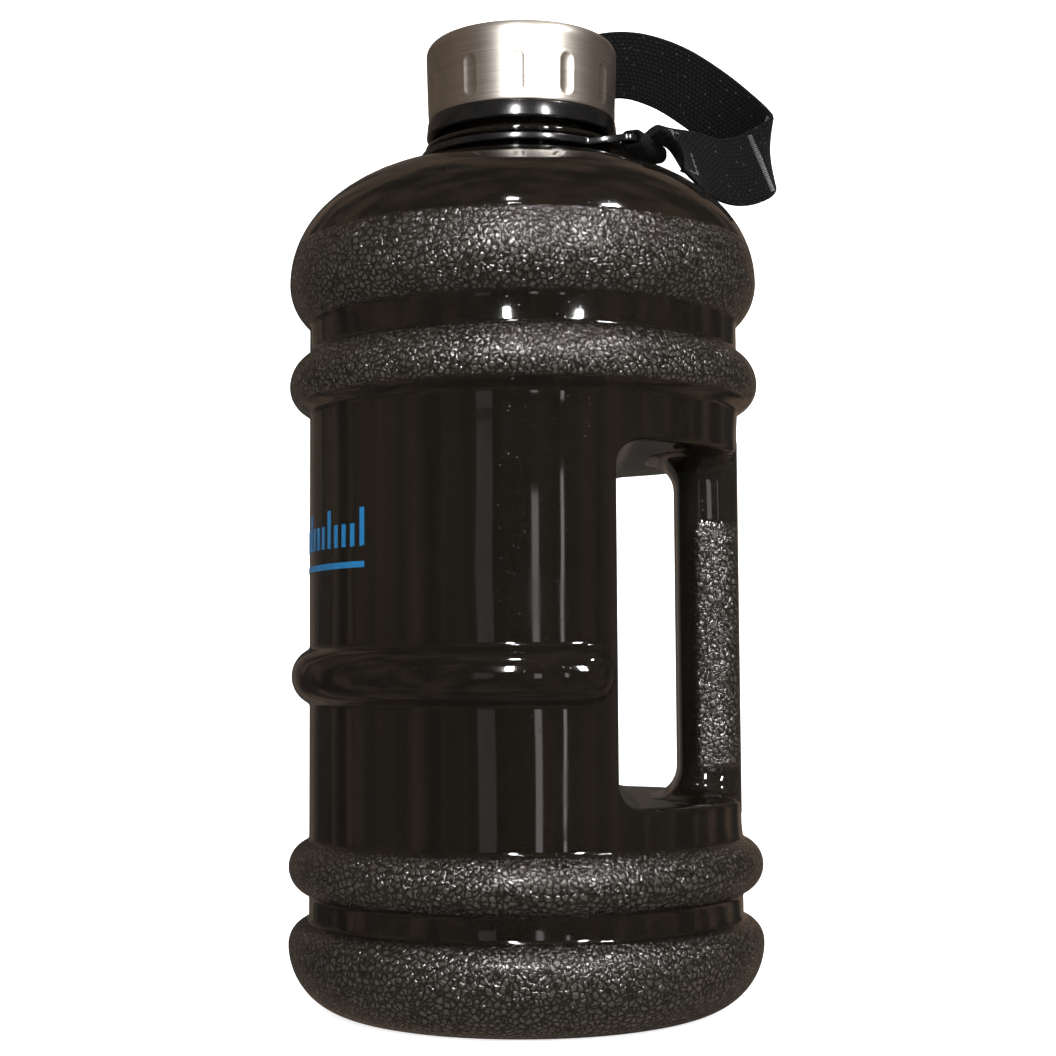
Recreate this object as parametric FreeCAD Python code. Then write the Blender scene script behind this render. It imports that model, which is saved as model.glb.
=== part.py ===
import FreeCAD, Part
import math
import os
from FreeCAD import Vector

# Large water jug: a blow-moulded, see-through body with swollen rings, a grip
# notched into its +X side, and a screw cap in a steel shell. A loose carry ring
# turns on the neck and holds a webbing strap.
# Millimetres. +Z is up along the jug's axis, the base stands on z = 0 and the
# grip is towards +X.

# --- Driving dimensions: the moulded body --------------------------------------
WALL = 1.5                # blown wall thickness
BARREL_R = 59.4           # outside of the plain barrel between the swollen rings
CROWN_R = BARREL_R + 5.6  # outside of the swollen rings at their crowns
BASE_Z = 18.5             # crown of the rounded bottom edge
DOME_R = CROWN_R - 24.0   # foot of the dished base
DOME_RISE = 7.0           # height of the dish at the axis
SHOULDER_Z = 198.5        # crown where the shoulder starts to close in
SHOULDER_ARC_R = 29.0     # shoulder rounding, lower arc
SHOULDER_TOP_R = 42.0     # shoulder rounding, upper arc
SHOULDER_TURN = 45.0      # degrees of shoulder taken by the lower arc
BASE_EDGE_Z = 24.9        # upper edge of the swollen base
CREST_EDGE_Z = SHOULDER_Z - 11.4    # lower edge of the swollen shoulder
# Swollen rings between the base and the shoulder: lower edge, crown, upper edge.
RINGS = [
    (31.7, 39.1, 46.2),
    (SHOULDER_Z - 36.0, SHOULDER_Z - 28.5, SHOULDER_Z - 19.6),
]

# --- The grip and its notch ----------------------------------------------------
NOTCH_X = 23.3            # flat back of the notch
NOTCH_LOW = RINGS[0][2] + 10.8
NOTCH_HIGH = RINGS[1][0] - 12.5
NOTCH_ROUND = 6.5         # corners at the back of the notch
GRIP_OUTER_R = BARREL_R - 0.4       # outside of the grip, about the jug's axis
GRIP_DEEP = 16.5          # grip from its finger side to its outside
GRIP_X = GRIP_OUTER_R - GRIP_DEEP
GRIP_HALF_W = 16.0
GRIP_EDGE_R = 6.5
GRIP_FLARE = 8.0          # rounding where the grip meets the notch's floor and ceiling
GRIP_ROOT = 4.0           # how far the grip runs into the body past the notch
FLARE_BED = 0.5           # how far the rounding is bedded in what it joins
FLARE_SHORT = 1.0         # the rounding stops this far short of the grip's outside
CUT_CLEAR = 10.0          # how far a cutting shape runs past what it cuts

# --- The partial rib around the barrel -----------------------------------------
RIB_Z = NOTCH_LOW + 33.5
RIB_HALF_H = 7.5
RIB_PROUD = 4.9
RIB_END_DEG = 75.0        # each end's angle from +X

# --- The top of the shoulder, which the neck stands on -------------------------
ARC_STEP = SHOULDER_TOP_R - SHOULDER_ARC_R
TURN = math.radians(SHOULDER_TURN)
TOP_ARC_R = CROWN_R - SHOULDER_ARC_R - ARC_STEP * math.cos(TURN)
TOP_ARC_Z = SHOULDER_Z - ARC_STEP * math.sin(TURN)
SHOULDER_TOP = TOP_ARC_Z + SHOULDER_TOP_R

# --- The neck and its thread ---------------------------------------------------
NECK_R = 25.5             # plain neck that the carry ring turns on
NECK_ROOT = 5.0           # how far the neck runs into the shoulder
MOUTH_R = NECK_R - 4.1
BEAD_R = NECK_R + 1.2     # stop bead above the carry ring
BEAD_LOW = SHOULDER_TOP + 5.4
BEAD_HIGH = BEAD_LOW + 1.8
FINISH_R = NECK_R - 2.3   # root of the neck thread
FINISH_LOW = BEAD_HIGH + 1.1
NECK_TOP = FINISH_LOW + 20.9
THREAD_PITCH = 4.0
THREAD_DEPTH = 1.4
THREAD_FOOT = 2.0         # thread width at its root
THREAD_TIP = 1.0          # thread width at its crest
THREAD_BED = 0.35         # how far a thread's foot runs into its wall
THREAD_CLEARANCE = 0.3    # radial, between cap and neck
THREAD_START = FINISH_LOW + 6.4
NECK_TURNS = 2.0
CAP_TURNS = 1.5

# --- The carry ring ------------------------------------------------------------
RING_CLEARANCE = 0.6
RING_BAND = 2.4           # radial width of the ring
RING_LOW = SHOULDER_TOP + 2.8
RING_THICK = 1.9
RING_TOP = RING_LOW + RING_THICK
LUG_FRONT = -24.0         # the lugs' angles from +X
LUG_BACK = 96.0
LUG_HALF_W = 12.4
LUG_CORNER = 3.0
LUG_BAR = 3.3             # plastic on each side of the webbing slot
SLOT_R = NECK_R + RING_CLEARANCE + RING_BAND + LUG_BAR   # slot's inner edge
SLOT_W = 3.4
LUG_REACH = SLOT_R + SLOT_W + LUG_BAR    # outer edge of a lug from the axis

# --- The cap -------------------------------------------------------------------
LINER_ROOT_R = FINISH_R + THREAD_DEPTH + THREAD_CLEARANCE
LINER_CREST_R = FINISH_R + THREAD_CLEARANCE
LINER_WALL = 0.7
LINER_ROOF = 2.6
ROOF_BEVEL = 2.0
SHELL_WALL = 0.6
SHELL_GAP = 0.1           # glue line between the shell and the plastic
GASKET_THICK = 2.4
GASKET_IN_R = MOUTH_R - 1.0
GASKET_SEAT = 0.15        # gap over the neck's rim with the cap just closed
GASKET_SIDE = 0.2         # gap to the cap's inner wall
GASKET_LOW = NECK_TOP + GASKET_SEAT
ROOF_LOW = GASKET_LOW + GASKET_THICK
ROOF_TOP = ROOF_LOW + LINER_ROOF
SKIRT_LOW = FINISH_LOW + 1.1        # lower edge of the cap
SHELL_LOW = SKIRT_LOW + 5.0         # lower edge of the steel shell
SHELL_TOP = ROOF_TOP + 2.45
SHELL_FOOT_R = LINER_ROOT_R + LINER_WALL + SHELL_GAP + SHELL_WALL
SHELL_HEAD_R = SHELL_FOOT_R + 0.6
SHELL_ROUND = 3.6         # top corner
SKIRT_LIP_R = SHELL_FOOT_R + 0.6    # flared lip of the plastic skirt
SKIRT_BEVEL = 0.6         # at the lip's lower edge
SKIRT_TAPER = 0.4         # from the lip up to the steel's edge
DIMPLES = 12
DIMPLE_LOW = SHELL_LOW + 2.4
DIMPLE_HIGH = SHELL_TOP - 9.3
DIMPLE_R = 4.0            # roundness of the dimpling tool
DIMPLE_DEPTH = 0.36
DIMPLE_FIRST = -92.0      # degrees from +X

# --- The strap -----------------------------------------------------------------
WEB_W = 20.0              # webbing width
WEB_T = 1.3               # webbing thickness
WEB_CLEAR = 0.3           # webbing to the lug's bar
EYE_ROUND = 0.8           # inside corners of the webbing's eyes
BAR_MIDDLE = (SLOT_R + SLOT_W + LUG_REACH) / 2
SEAM_Z = WEB_CLEAR + WEB_T / 2      # webbing's middle above the ring
ROUTE_BAR = 36.85         # lug's bar from the axis, for the route as it is written
# Centre of the webbing, its height taken from the ring's top, then the direction
# from its lower to its upper edge. It spreads with the lugs.
STRAP_ROUTE = [
    ((-3.85, 36.65, SEAM_Z), (-0.99, -0.10, 0.0)),
    ((-4.4, 42.0, 3.6), (-0.98, -0.12, -0.04)),
    ((-5.6, 43.4, 11.0), (-0.95, -0.08, 0.12)),
    ((-5.0, 41.6, 20.0), (-0.80, -0.15, 0.50)),
    ((4.0, 39.5, 29.0), (-0.57, -0.20, 0.78)),
    ((16.0, 37.5, 36.0), (-0.20, -0.20, 0.95)),
    ((30.0, 34.5, 38.7), (0.21, -0.15, 0.97)),
    ((43.6, 31.5, 33.7), (0.42, -0.25, 0.87)),
    ((54.4, 28.0, 25.2), (0.38, -0.30, 0.87)),
    ((63.1, 24.5, 16.8), (0.26, -0.37, 0.89)),
    ((69.4, 19.5, 9.3), (0.08, -0.27, 0.96)),
    ((72.1, 13.5, 4.8), (-0.07, -0.06, 1.00)),
    ((69.1, 8.0, 0.5), (-0.02, 0.00, 1.00)),
    ((63.3, 4.5, -3.0), (0.02, 0.06, 1.00)),
    ((56.9, 0.5, -4.2), (0.00, 0.20, 0.98)),
    ((49.8, -3.0, -1.6), (0.05, 0.42, 0.90)),
    ((43.6, -7.6, -0.4), (0.14, 0.76, 0.62)),
    ((38.5, -13.0, 1.2), (0.39, 0.92, 0.08)),
    ((33.65, -15.0, SEAM_Z), (0.41, 0.91, 0.0)),
]
STITCH_PROUD = 0.35       # how far the sewing stands off the webbing
TACK_LONG = 2.0
# Bar tacks: the route point before it, the share of the way on, and its width.
TACKS = [
    (10, 0.25, 17.0),
    (12, 0.35, 17.0),
    (16, 0.35, 15.0),
    (1, 0.6, 15.0),
]

# --- The printed band ----------------------------------------------------------
RIB_TOP = RIB_Z + RIB_HALF_H
INK_Z = RIB_TOP + 0.45 * (RINGS[1][0] - RIB_TOP)
INK_THICK = 0.12
INK_OFF = 0.03            # ink film to the barrel
INK_BARS = 25
INK_LONG_EVERY = 4        # every fourth bar is a long one
INK_STEP_DEG = 3.8
INK_BAR_W_DEG = 1.7
INK_TALL = 10.0
INK_SHORT = 6.0
INK_RULE_DROP = 8.5       # rule below the middle of the bars
INK_RULE_H = 1.6

# --- Sizes that follow ---------------------------------------------------------
FLARE_IN = GRIP_HALF_W - GRIP_EDGE_R
UP = Vector(0, 0, 1)
ORIGIN = Vector(0, 0, 0)


def at_angle(radius, degrees, z=0.0):
    a = math.radians(degrees)
    return Vector(radius * math.cos(a), radius * math.sin(a), z)


def line(r1, z1, r2, z2):
    """A straight stretch of an outline drawn in the XZ plane."""
    return Part.LineSegment(Vector(r1, 0, z1), Vector(r2, 0, z2)).toShape()


def arc(cr, cz, radius, start, end):
    """A round stretch of an outline, by its centre and its angles in degrees."""
    points = []
    for degrees in (start, (start + end) / 2, end):
        a = math.radians(degrees)
        points.append(Vector(cr + radius * math.cos(a), 0, cz + radius * math.sin(a)))
    return Part.Arc(*points).toShape()


def spun(edges, degrees=360.0):
    """The closed outline turned about the jug's axis."""
    face = Part.Face(Part.Wire(Part.sortEdges(edges)[0]))
    return face.revolve(ORIGIN, UP, degrees)


def swell(low, crown, high, inset):
    """A swollen ring's two arcs, inset inwards, and the heights where they end."""
    edges = []
    ends = []
    wall = BARREL_R - inset
    for edge_z, side in ((low, -1), (high, 1)):
        if edge_z is None:
            continue
        proud = CROWN_R - BARREL_R
        reach = abs(edge_z - crown)
        radius = (proud ** 2 + reach ** 2) / (2 * proud)
        centre = CROWN_R - radius
        small = radius - inset
        turn = side * math.degrees(math.acos((wall - centre) / small))
        edges.append(arc(centre, crown, small, 0, turn))
        ends.append(crown + small * math.sin(math.radians(turn)))
    return edges, ends


def blown_form(inset):
    """The body turned about its axis, without grip, rib or neck finish."""
    dish_r = (DOME_R ** 2 + DOME_RISE ** 2) / (2 * DOME_RISE)
    dish_z = DOME_RISE - dish_r
    dish = dish_r + inset
    foot = math.degrees(math.asin((inset - dish_z) / dish))
    foot_r = dish * math.cos(math.radians(foot))
    heel_r = CROWN_R - BASE_Z
    edges = [arc(0, dish_z, dish, 90, foot), line(foot_r, inset, heel_r, inset)]
    edges.append(arc(heel_r, BASE_Z, BASE_Z - inset, -90, 0))
    wall = BARREL_R - inset
    arcs, ends = swell(None, BASE_Z, BASE_EDGE_Z, inset)
    edges += arcs
    below = ends[0]
    for low, crown, high in RINGS:
        arcs, ends = swell(low, crown, high, inset)
        edges += arcs + [line(wall, below, wall, ends[0])]
        below = ends[1]
    arcs, ends = swell(CREST_EDGE_Z, SHOULDER_Z, None, inset)
    edges += arcs + [line(wall, below, wall, ends[0])]
    arc_r = CROWN_R - SHOULDER_ARC_R
    edges.append(arc(arc_r, SHOULDER_Z, SHOULDER_ARC_R - inset, 0, SHOULDER_TURN))
    edges.append(arc(TOP_ARC_R, TOP_ARC_Z, SHOULDER_TOP_R - inset, SHOULDER_TURN, 90))
    top_z = SHOULDER_TOP - inset
    edges += [line(TOP_ARC_R, top_z, 0, top_z), line(0, top_z, 0, DOME_RISE + inset)]
    return spun(edges)


def rounded_slab(x1, x2, z1, z2, back_r, front_r, half_y):
    """A block along Y whose corners are rounded, at its back and its front."""
    edges = []
    corners = (
        (x1 + back_r, z1 + back_r, back_r, 180, 270),
        (x2 - front_r, z1 + front_r, front_r, 270, 360),
        (x2 - front_r, z2 - front_r, front_r, 0, 90),
        (x1 + back_r, z2 - back_r, back_r, 90, 180),
    )
    edges = [arc(*corner) for corner in corners]
    edges.append(line(x1 + back_r, z1, x2 - front_r, z1))
    edges.append(line(x2, z1 + front_r, x2, z2 - front_r))
    edges.append(line(x2 - front_r, z2, x1 + back_r, z2))
    edges.append(line(x1, z2 - back_r, x1, z1 + back_r))
    face = Part.Face(Part.Wire(Part.sortEdges(edges)[0]))
    face.translate(Vector(0, -half_y, 0))
    return face.extrude(Vector(0, 2 * half_y, 0))


def notch(inset):
    """The room cut out of the body around the grip, grown by inset."""
    outer = CROWN_R + NOTCH_ROUND + CUT_CLEAR
    return rounded_slab(
        NOTCH_X - inset, outer, NOTCH_LOW - inset, NOTCH_HIGH + inset,
        NOTCH_ROUND + inset, NOTCH_ROUND, CROWN_R + CUT_CLEAR,
    )


def grip_bar(inset):
    """The upright grip, shrunk by inset, run on into the body at both ends."""
    half = GRIP_HALF_W - inset
    low = NOTCH_LOW - GRIP_ROOT
    tall = NOTCH_HIGH + GRIP_ROOT - low
    block = Part.makeBox(
        CROWN_R, 2 * half, tall, Vector(GRIP_X + inset, -half, low)
    )
    block = block.common(
        Part.makeCylinder(GRIP_OUTER_R - inset, tall, Vector(0, 0, low))
    )
    upright = [e for e in block.Edges if abs(e.tangentAt(e.FirstParameter).z) > 0.99]
    return block.makeFillet(GRIP_EDGE_R - inset, upright)


def grip_flare(z, side):
    """The rounding around the grip where it meets the notch's floor or ceiling."""
    r = GRIP_FLARE

    def section(x):
        corner = Vector(x, 0, z)
        edges = [
            line(x + FLARE_BED, z - side * FLARE_BED, x + FLARE_BED, z + side * r),
            line(x + FLARE_BED, z + side * r, x, z + side * r),
            line(x - r, z, x - r, z - side * FLARE_BED),
            line(x - r, z - side * FLARE_BED, x + FLARE_BED, z - side * FLARE_BED),
        ]
        bend = math.radians(45)
        middle = corner + Vector(-r + r * math.sin(bend), 0, side * (r - r * math.cos(bend)))
        curve = Part.Arc(corner + Vector(0, 0, side * r), middle, corner + Vector(-r, 0, 0))
        edges.append(curve.toShape())
        return Part.Face(Part.Wire(Part.sortEdges(edges)[0]))

    face = section(GRIP_X)
    straight = face.copy()
    straight.translate(Vector(0, -FLARE_IN, 0))
    flare = straight.extrude(Vector(0, 2 * FLARE_IN, 0))
    run = math.sqrt(GRIP_OUTER_R ** 2 - GRIP_HALF_W ** 2) - GRIP_X - GRIP_EDGE_R - FLARE_SHORT
    for y in (-1, 1):
        pivot = Vector(GRIP_X + GRIP_EDGE_R, y * FLARE_IN, 0)
        corner = face.copy()
        corner.translate(Vector(0, y * FLARE_IN, 0))
        flare = flare.fuse(corner.revolve(pivot, UP, -90 * y))
        end = face.copy()
        end.translate(Vector(0, y * FLARE_IN, 0))
        end.rotate(pivot, UP, -90 * y)
        flare = flare.fuse(end.extrude(Vector(run, 0, 0)))
    return flare


def rib(inset):
    """The round-ended rib that runs about the barrel, away from the grip."""
    small = (RIB_PROUD ** 2 + RIB_HALF_H ** 2) / (2 * RIB_PROUD)
    big = BARREL_R + RIB_PROUD - small
    span = 360 - 2 * RIB_END_DEG
    bend = Part.makeTorus(big, small - inset, Vector(0, 0, RIB_Z), UP, 0, 360, span)
    bend.rotate(ORIGIN, UP, RIB_END_DEG)
    for degrees in (RIB_END_DEG, -RIB_END_DEG):
        bend = bend.fuse(Part.makeSphere(small - inset, at_angle(big, degrees, RIB_Z)))
    return bend


def helix_ridge(start_z, turns, foot_r, tip_r):
    """A screw thread's ridge from foot_r to tip_r, its foot bedded in the wall behind."""
    side = 1 if tip_r > foot_r else -1
    flank = (THREAD_FOOT - THREAD_TIP) / 2 / abs(tip_r - foot_r)
    bed_r = foot_r - side * THREAD_BED
    bed_half = THREAD_FOOT / 2 + flank * THREAD_BED
    helix = Part.makeHelix(THREAD_PITCH, THREAD_PITCH * turns, foot_r)
    helix.translate(Vector(0, 0, start_z))
    outline = [
        Vector(bed_r, 0, start_z - bed_half),
        Vector(tip_r, 0, start_z - THREAD_TIP / 2),
        Vector(tip_r, 0, start_z + THREAD_TIP / 2),
        Vector(bed_r, 0, start_z + bed_half),
    ]
    section = Part.makePolygon(outline + outline[:1])
    return Part.Wire(helix).makePipeShell([section], True, True)


def bottle_body():
    outer = blown_form(0.0)
    root = SHOULDER_TOP - NECK_ROOT
    neck = spun([
        line(0, root, NECK_R, root),
        line(NECK_R, root, NECK_R, BEAD_LOW),
        line(NECK_R, BEAD_LOW, BEAD_R, BEAD_LOW),
        arc(BEAD_R, (BEAD_LOW + BEAD_HIGH) / 2, (BEAD_HIGH - BEAD_LOW) / 2, -90, 90),
        line(BEAD_R, BEAD_HIGH, FINISH_R, FINISH_LOW),
        line(FINISH_R, FINISH_LOW, FINISH_R, NECK_TOP),
        line(FINISH_R, NECK_TOP, 0, NECK_TOP),
        line(0, NECK_TOP, 0, root),
    ])
    outer = outer.cut(notch(0.0)).fuse(grip_bar(0.0))
    for z, side in ((NOTCH_LOW, 1), (NOTCH_HIGH, -1)):
        outer = outer.fuse(grip_flare(z, side))
    outer = outer.fuse(rib(0.0)).fuse(neck)
    inner = blown_form(WALL)
    inner = inner.cut(notch(WALL)).fuse(grip_bar(WALL)).fuse(rib(WALL))
    mouth = Part.makeCylinder(MOUTH_R, NECK_TOP - root, Vector(0, 0, root))
    thread = helix_ridge(THREAD_START, NECK_TURNS, FINISH_R, FINISH_R + THREAD_DEPTH)
    return outer.cut(inner.fuse(mouth)).fuse(thread)


def neck_ring():
    inner = NECK_R + RING_CLEARANCE
    ring = Part.makeCylinder(inner + RING_BAND, RING_THICK, Vector(0, 0, RING_LOW))
    corner = Vector(0, -LUG_HALF_W, RING_LOW)
    plate = Part.makeBox(LUG_REACH, 2 * LUG_HALF_W, RING_THICK, corner)
    upright = [e for e in plate.Edges if abs(e.tangentAt(e.FirstParameter).z) > 0.99]
    lug = plate.makeFillet(LUG_CORNER, upright)
    low = RING_LOW - CUT_CLEAR
    through = RING_THICK + 2 * CUT_CLEAR
    half = WEB_W / 2 + 2 * WEB_CLEAR
    lug = lug.cut(Part.makeBox(SLOT_W, 2 * half, through, Vector(SLOT_R, -half, low)))
    for degrees in (LUG_FRONT, LUG_BACK):
        turned = lug.copy()
        turned.rotate(ORIGIN, UP, degrees)
        ring = ring.fuse(turned)
    return ring.cut(Part.makeCylinder(inner, through, Vector(0, 0, low)))


def section_corners(centre, across, along):
    """The four corners of the webbing's section, square to its run."""
    across = Vector(across).normalize()
    across = (across - along * across.dot(along)).normalize()
    thick = across.cross(along).normalize() * (WEB_T / 2)
    edge = across * (WEB_W / 2)
    return [centre + edge + thick, centre - edge + thick,
            centre - edge - thick, centre + edge - thick]


def route_point(index):
    """The middle of the webbing at one of the route's points."""
    x, y, above = STRAP_ROUTE[index][0]
    spread = BAR_MIDDLE / ROUTE_BAR
    return Vector(x * spread, y * spread, RING_TOP + above)


def ribbon():
    """The webbing between the lugs, as flat panels mitred at the route's points."""
    centres = [route_point(i) for i in range(len(STRAP_ROUTE))]
    rings = []
    for i, (_, across) in enumerate(STRAP_ROUTE):
        along = centres[min(i + 1, len(centres) - 1)] - centres[max(i - 1, 0)]
        corners = section_corners(centres[i], Vector(*across), along.normalize())
        rings.append(Part.makePolygon(corners + corners[:1]))
    return Part.makeLoft(rings, True, True)


def webbing_eye(degrees):
    """The sewn eye of the webbing around the bar of the lug at an angle."""
    bar_in = SLOT_R + SLOT_W
    low = RING_LOW - WEB_CLEAR
    high = RING_TOP + WEB_CLEAR
    near = bar_in - WEB_CLEAR
    far = LUG_REACH + WEB_CLEAR
    bend = EYE_ROUND + WEB_T
    hole = rounded_slab(near, far, low, high, EYE_ROUND, EYE_ROUND, WEB_W)
    body = rounded_slab(
        near - WEB_T, far + WEB_T, low - WEB_T, high + WEB_T, bend, bend, WEB_W / 2
    )
    eye = body.cut(hole)
    eye.rotate(ORIGIN, UP, degrees)
    return eye


def carry_strap():
    return ribbon().fuse(webbing_eye(LUG_FRONT)).fuse(webbing_eye(LUG_BACK))


def route_frame(index, share):
    """A place between two route points: its centre, its run, width and face directions."""
    a = route_point(index)
    b = route_point(index + 1)
    across = Vector(*STRAP_ROUTE[index][1]) * (1 - share)
    across = across + Vector(*STRAP_ROUTE[index + 1][1]) * share
    along = (b - a).normalize()
    across = (across - along * across.dot(along)).normalize()
    return a + (b - a) * share, along, across, across.cross(along)


def bar_tack(index, share, wide):
    """One block of sewing through the webbing, proud of both faces."""
    centre, along, across, face = route_frame(index, share)
    tall = WEB_T + 2 * STITCH_PROUD
    corner = Vector(-TACK_LONG / 2, -wide / 2, -tall / 2)
    block = Part.makeBox(TACK_LONG, wide, tall, corner)
    matrix = FreeCAD.Matrix(
        along.x, across.x, face.x, centre.x,
        along.y, across.y, face.y, centre.y,
        along.z, across.z, face.z, centre.z,
        0, 0, 0, 1,
    )
    return block.transformGeometry(matrix)


def strap_stitching(webbing):
    """Bar tacks at the fold and by both lugs: separate blocks, bedded in the webbing."""
    blocks = []
    for index, share, wide in TACKS:
        blocks += bar_tack(index, share, wide).cut(webbing).Solids
    return Part.makeCompound(blocks)


def cap_outline(low, inset):
    """The steel shell's outside, from its open edge to its top, moved in by inset."""
    rise = (SHELL_HEAD_R - SHELL_FOOT_R) / (SHELL_TOP - SHELL_ROUND - SHELL_LOW)
    foot = SHELL_FOOT_R + rise * (low - SHELL_LOW) - inset
    head = SHELL_HEAD_R - inset
    bend_z = SHELL_TOP - SHELL_ROUND
    top = SHELL_TOP - inset
    corner = SHELL_ROUND - inset
    return [
        line(0, low, foot, low),
        line(foot, low, head, bend_z),
        arc(head - corner, bend_z, corner, 0, 90),
        line(head - corner, top, 0, top),
        line(0, top, 0, low),
    ]


def cap_shell():
    inside = spun(cap_outline(SHELL_LOW - CUT_CLEAR, SHELL_WALL))
    shell = spun(cap_outline(SHELL_LOW, 0)).cut(inside)
    for i in range(DIMPLES):
        degrees = DIMPLE_FIRST + i * 360 / DIMPLES
        centre_r = (SHELL_FOOT_R + SHELL_HEAD_R) / 2 + DIMPLE_R - DIMPLE_DEPTH
        low = at_angle(centre_r, degrees, DIMPLE_LOW + DIMPLE_R / 2)
        high = at_angle(centre_r, degrees, DIMPLE_HIGH - DIMPLE_R / 2)
        tool = Part.makeCylinder(DIMPLE_R, high.z - low.z, low)
        tool = tool.fuse(Part.makeSphere(DIMPLE_R, low)).fuse(Part.makeSphere(DIMPLE_R, high))
        shell = shell.cut(tool)
    return shell


def cap_liner():
    """The threaded plastic inside of the cap, with the black skirt below the steel."""
    skirt_r = SHELL_FOOT_R - SHELL_WALL - SHELL_GAP
    ledge = SHELL_LOW - SHELL_GAP
    outline = [
        (0, SKIRT_LOW),
        (SKIRT_LIP_R - SKIRT_BEVEL, SKIRT_LOW),
        (SKIRT_LIP_R, SKIRT_LOW + SKIRT_BEVEL),
        (SKIRT_LIP_R - SKIRT_TAPER, ledge),
        (skirt_r, ledge),
        (skirt_r, ROOF_TOP - ROOF_BEVEL),
        (skirt_r - ROOF_BEVEL, ROOF_TOP),
        (0, ROOF_TOP),
    ]
    ends = outline[1:] + outline[:1]
    lip = spun([line(*start, *end) for start, end in zip(outline, ends)])
    low = SKIRT_LOW - CUT_CLEAR
    hollow = Part.makeCylinder(LINER_ROOT_R, ROOF_LOW - low, Vector(0, 0, low))
    thread = helix_ridge(
        THREAD_START + THREAD_PITCH / 2, CAP_TURNS, LINER_ROOT_R, LINER_CREST_R
    )
    return lip.cut(hollow).fuse(thread)


def cap_gasket():
    outer = LINER_ROOT_R - GASKET_SIDE
    ring = Part.makeCylinder(outer, GASKET_THICK, Vector(0, 0, GASKET_LOW))
    return ring.cut(Part.makeCylinder(GASKET_IN_R, GASKET_THICK, Vector(0, 0, GASKET_LOW)))


def ink_patch(centre_deg, wide_deg, low, tall):
    """A thin film of ink on the barrel."""
    base = BARREL_R + INK_OFF
    patch = Part.makeCylinder(base + INK_THICK, tall, Vector(0, 0, low), UP, wide_deg)
    patch = patch.cut(Part.makeCylinder(base, tall, Vector(0, 0, low)))
    patch.rotate(ORIGIN, UP, centre_deg - wide_deg / 2)
    return patch


def printed_band():
    """A plain band of ticks over a rule, facing away from the grip."""
    patches = []
    for i in range(INK_BARS):
        tall = INK_SHORT if i % INK_LONG_EVERY else INK_TALL
        degrees = 180 + (i - (INK_BARS - 1) / 2) * INK_STEP_DEG
        patches.append(ink_patch(degrees, INK_BAR_W_DEG, INK_Z - INK_SHORT / 2, tall))
    span = (INK_BARS - 1) * INK_STEP_DEG + INK_BAR_W_DEG
    patches.append(ink_patch(180, span, INK_Z - INK_RULE_DROP, INK_RULE_H))
    return Part.makeCompound(patches)


def main():
    strap = carry_strap()
    nodes = {
        "bottle_body": bottle_body(),
        "printed_band": printed_band(),
        "neck_ring": neck_ring(),
        "carry_strap": strap,
        "strap_stitching": strap_stitching(strap),
        "cap_liner": cap_liner(),
        "cap_steel_shell": cap_shell(),
        "cap_gasket": cap_gasket(),
    }
    os.makedirs("parts", exist_ok=True)
    for name, shape in nodes.items():
        print(name, len(shape.Solids), round(shape.Volume), shape.isValid())
        shape.exportStep("parts/" + name + ".step")


main()
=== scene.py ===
import logging
import math
from dataclasses import dataclass, field
from enum import Enum
from typing import Callable, Sequence

import bpy
import numpy as np
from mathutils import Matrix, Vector


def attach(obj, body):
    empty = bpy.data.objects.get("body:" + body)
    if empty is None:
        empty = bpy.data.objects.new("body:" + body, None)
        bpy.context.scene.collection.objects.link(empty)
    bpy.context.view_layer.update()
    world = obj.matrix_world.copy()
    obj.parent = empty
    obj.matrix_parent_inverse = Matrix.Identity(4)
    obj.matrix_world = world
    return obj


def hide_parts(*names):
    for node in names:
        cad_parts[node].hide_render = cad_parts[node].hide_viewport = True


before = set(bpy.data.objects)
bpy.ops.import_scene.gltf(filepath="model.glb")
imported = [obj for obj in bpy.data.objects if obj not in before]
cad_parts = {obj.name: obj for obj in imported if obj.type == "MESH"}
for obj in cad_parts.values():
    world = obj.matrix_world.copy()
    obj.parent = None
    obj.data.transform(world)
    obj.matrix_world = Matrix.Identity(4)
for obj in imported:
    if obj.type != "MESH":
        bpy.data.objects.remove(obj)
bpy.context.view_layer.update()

LOG = logging.getLogger("jug")
MM = 0.001
Row = list[tuple[float, float]]


# ---------------------------------------------------------------- mesh helpers


def mesh_object(
    name: str, points: np.ndarray, faces: Sequence[Sequence[int]], smooth: bool = True
) -> bpy.types.Object:
    """Makes a mesh object from points in millimetres.

    Args:
        name: the piece's name.
        points: one row of x, y, z for each vertex, in millimetres.
        faces: vertex indices of each face.
        smooth: whether its faces are shaded smooth.

    Returns:
        The new object, linked to the scene.
    """
    mesh = bpy.data.meshes.new(name)
    mesh.from_pydata((np.asarray(points, float) * MM).tolist(), [], [tuple(f) for f in faces])
    mesh.validate()
    mesh.polygons.foreach_set("use_smooth", [smooth] * len(mesh.polygons))
    mesh.update()
    piece = bpy.data.objects.new(name, mesh)
    bpy.context.scene.collection.objects.link(piece)
    return piece


def grid_faces(rows: int, columns: int, round_columns: bool, first: int = 0) -> list[tuple[int, ...]]:
    """Quads of a grid of vertices laid out row by row.

    Args:
        rows: number of rows of vertices.
        columns: number of vertices in a row.
        round_columns: whether the last column joins the first.
        first: index of the grid's first vertex.

    Returns:
        The faces, as vertex indices.
    """
    faces = []
    last = columns if round_columns else columns - 1
    for r in range(rows - 1):
        for c in range(last):
            d = (c + 1) % columns
            low, high = first + r * columns, first + (r + 1) * columns
            faces.append((low + c, low + d, high + d, high + c))
    return faces


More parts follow.
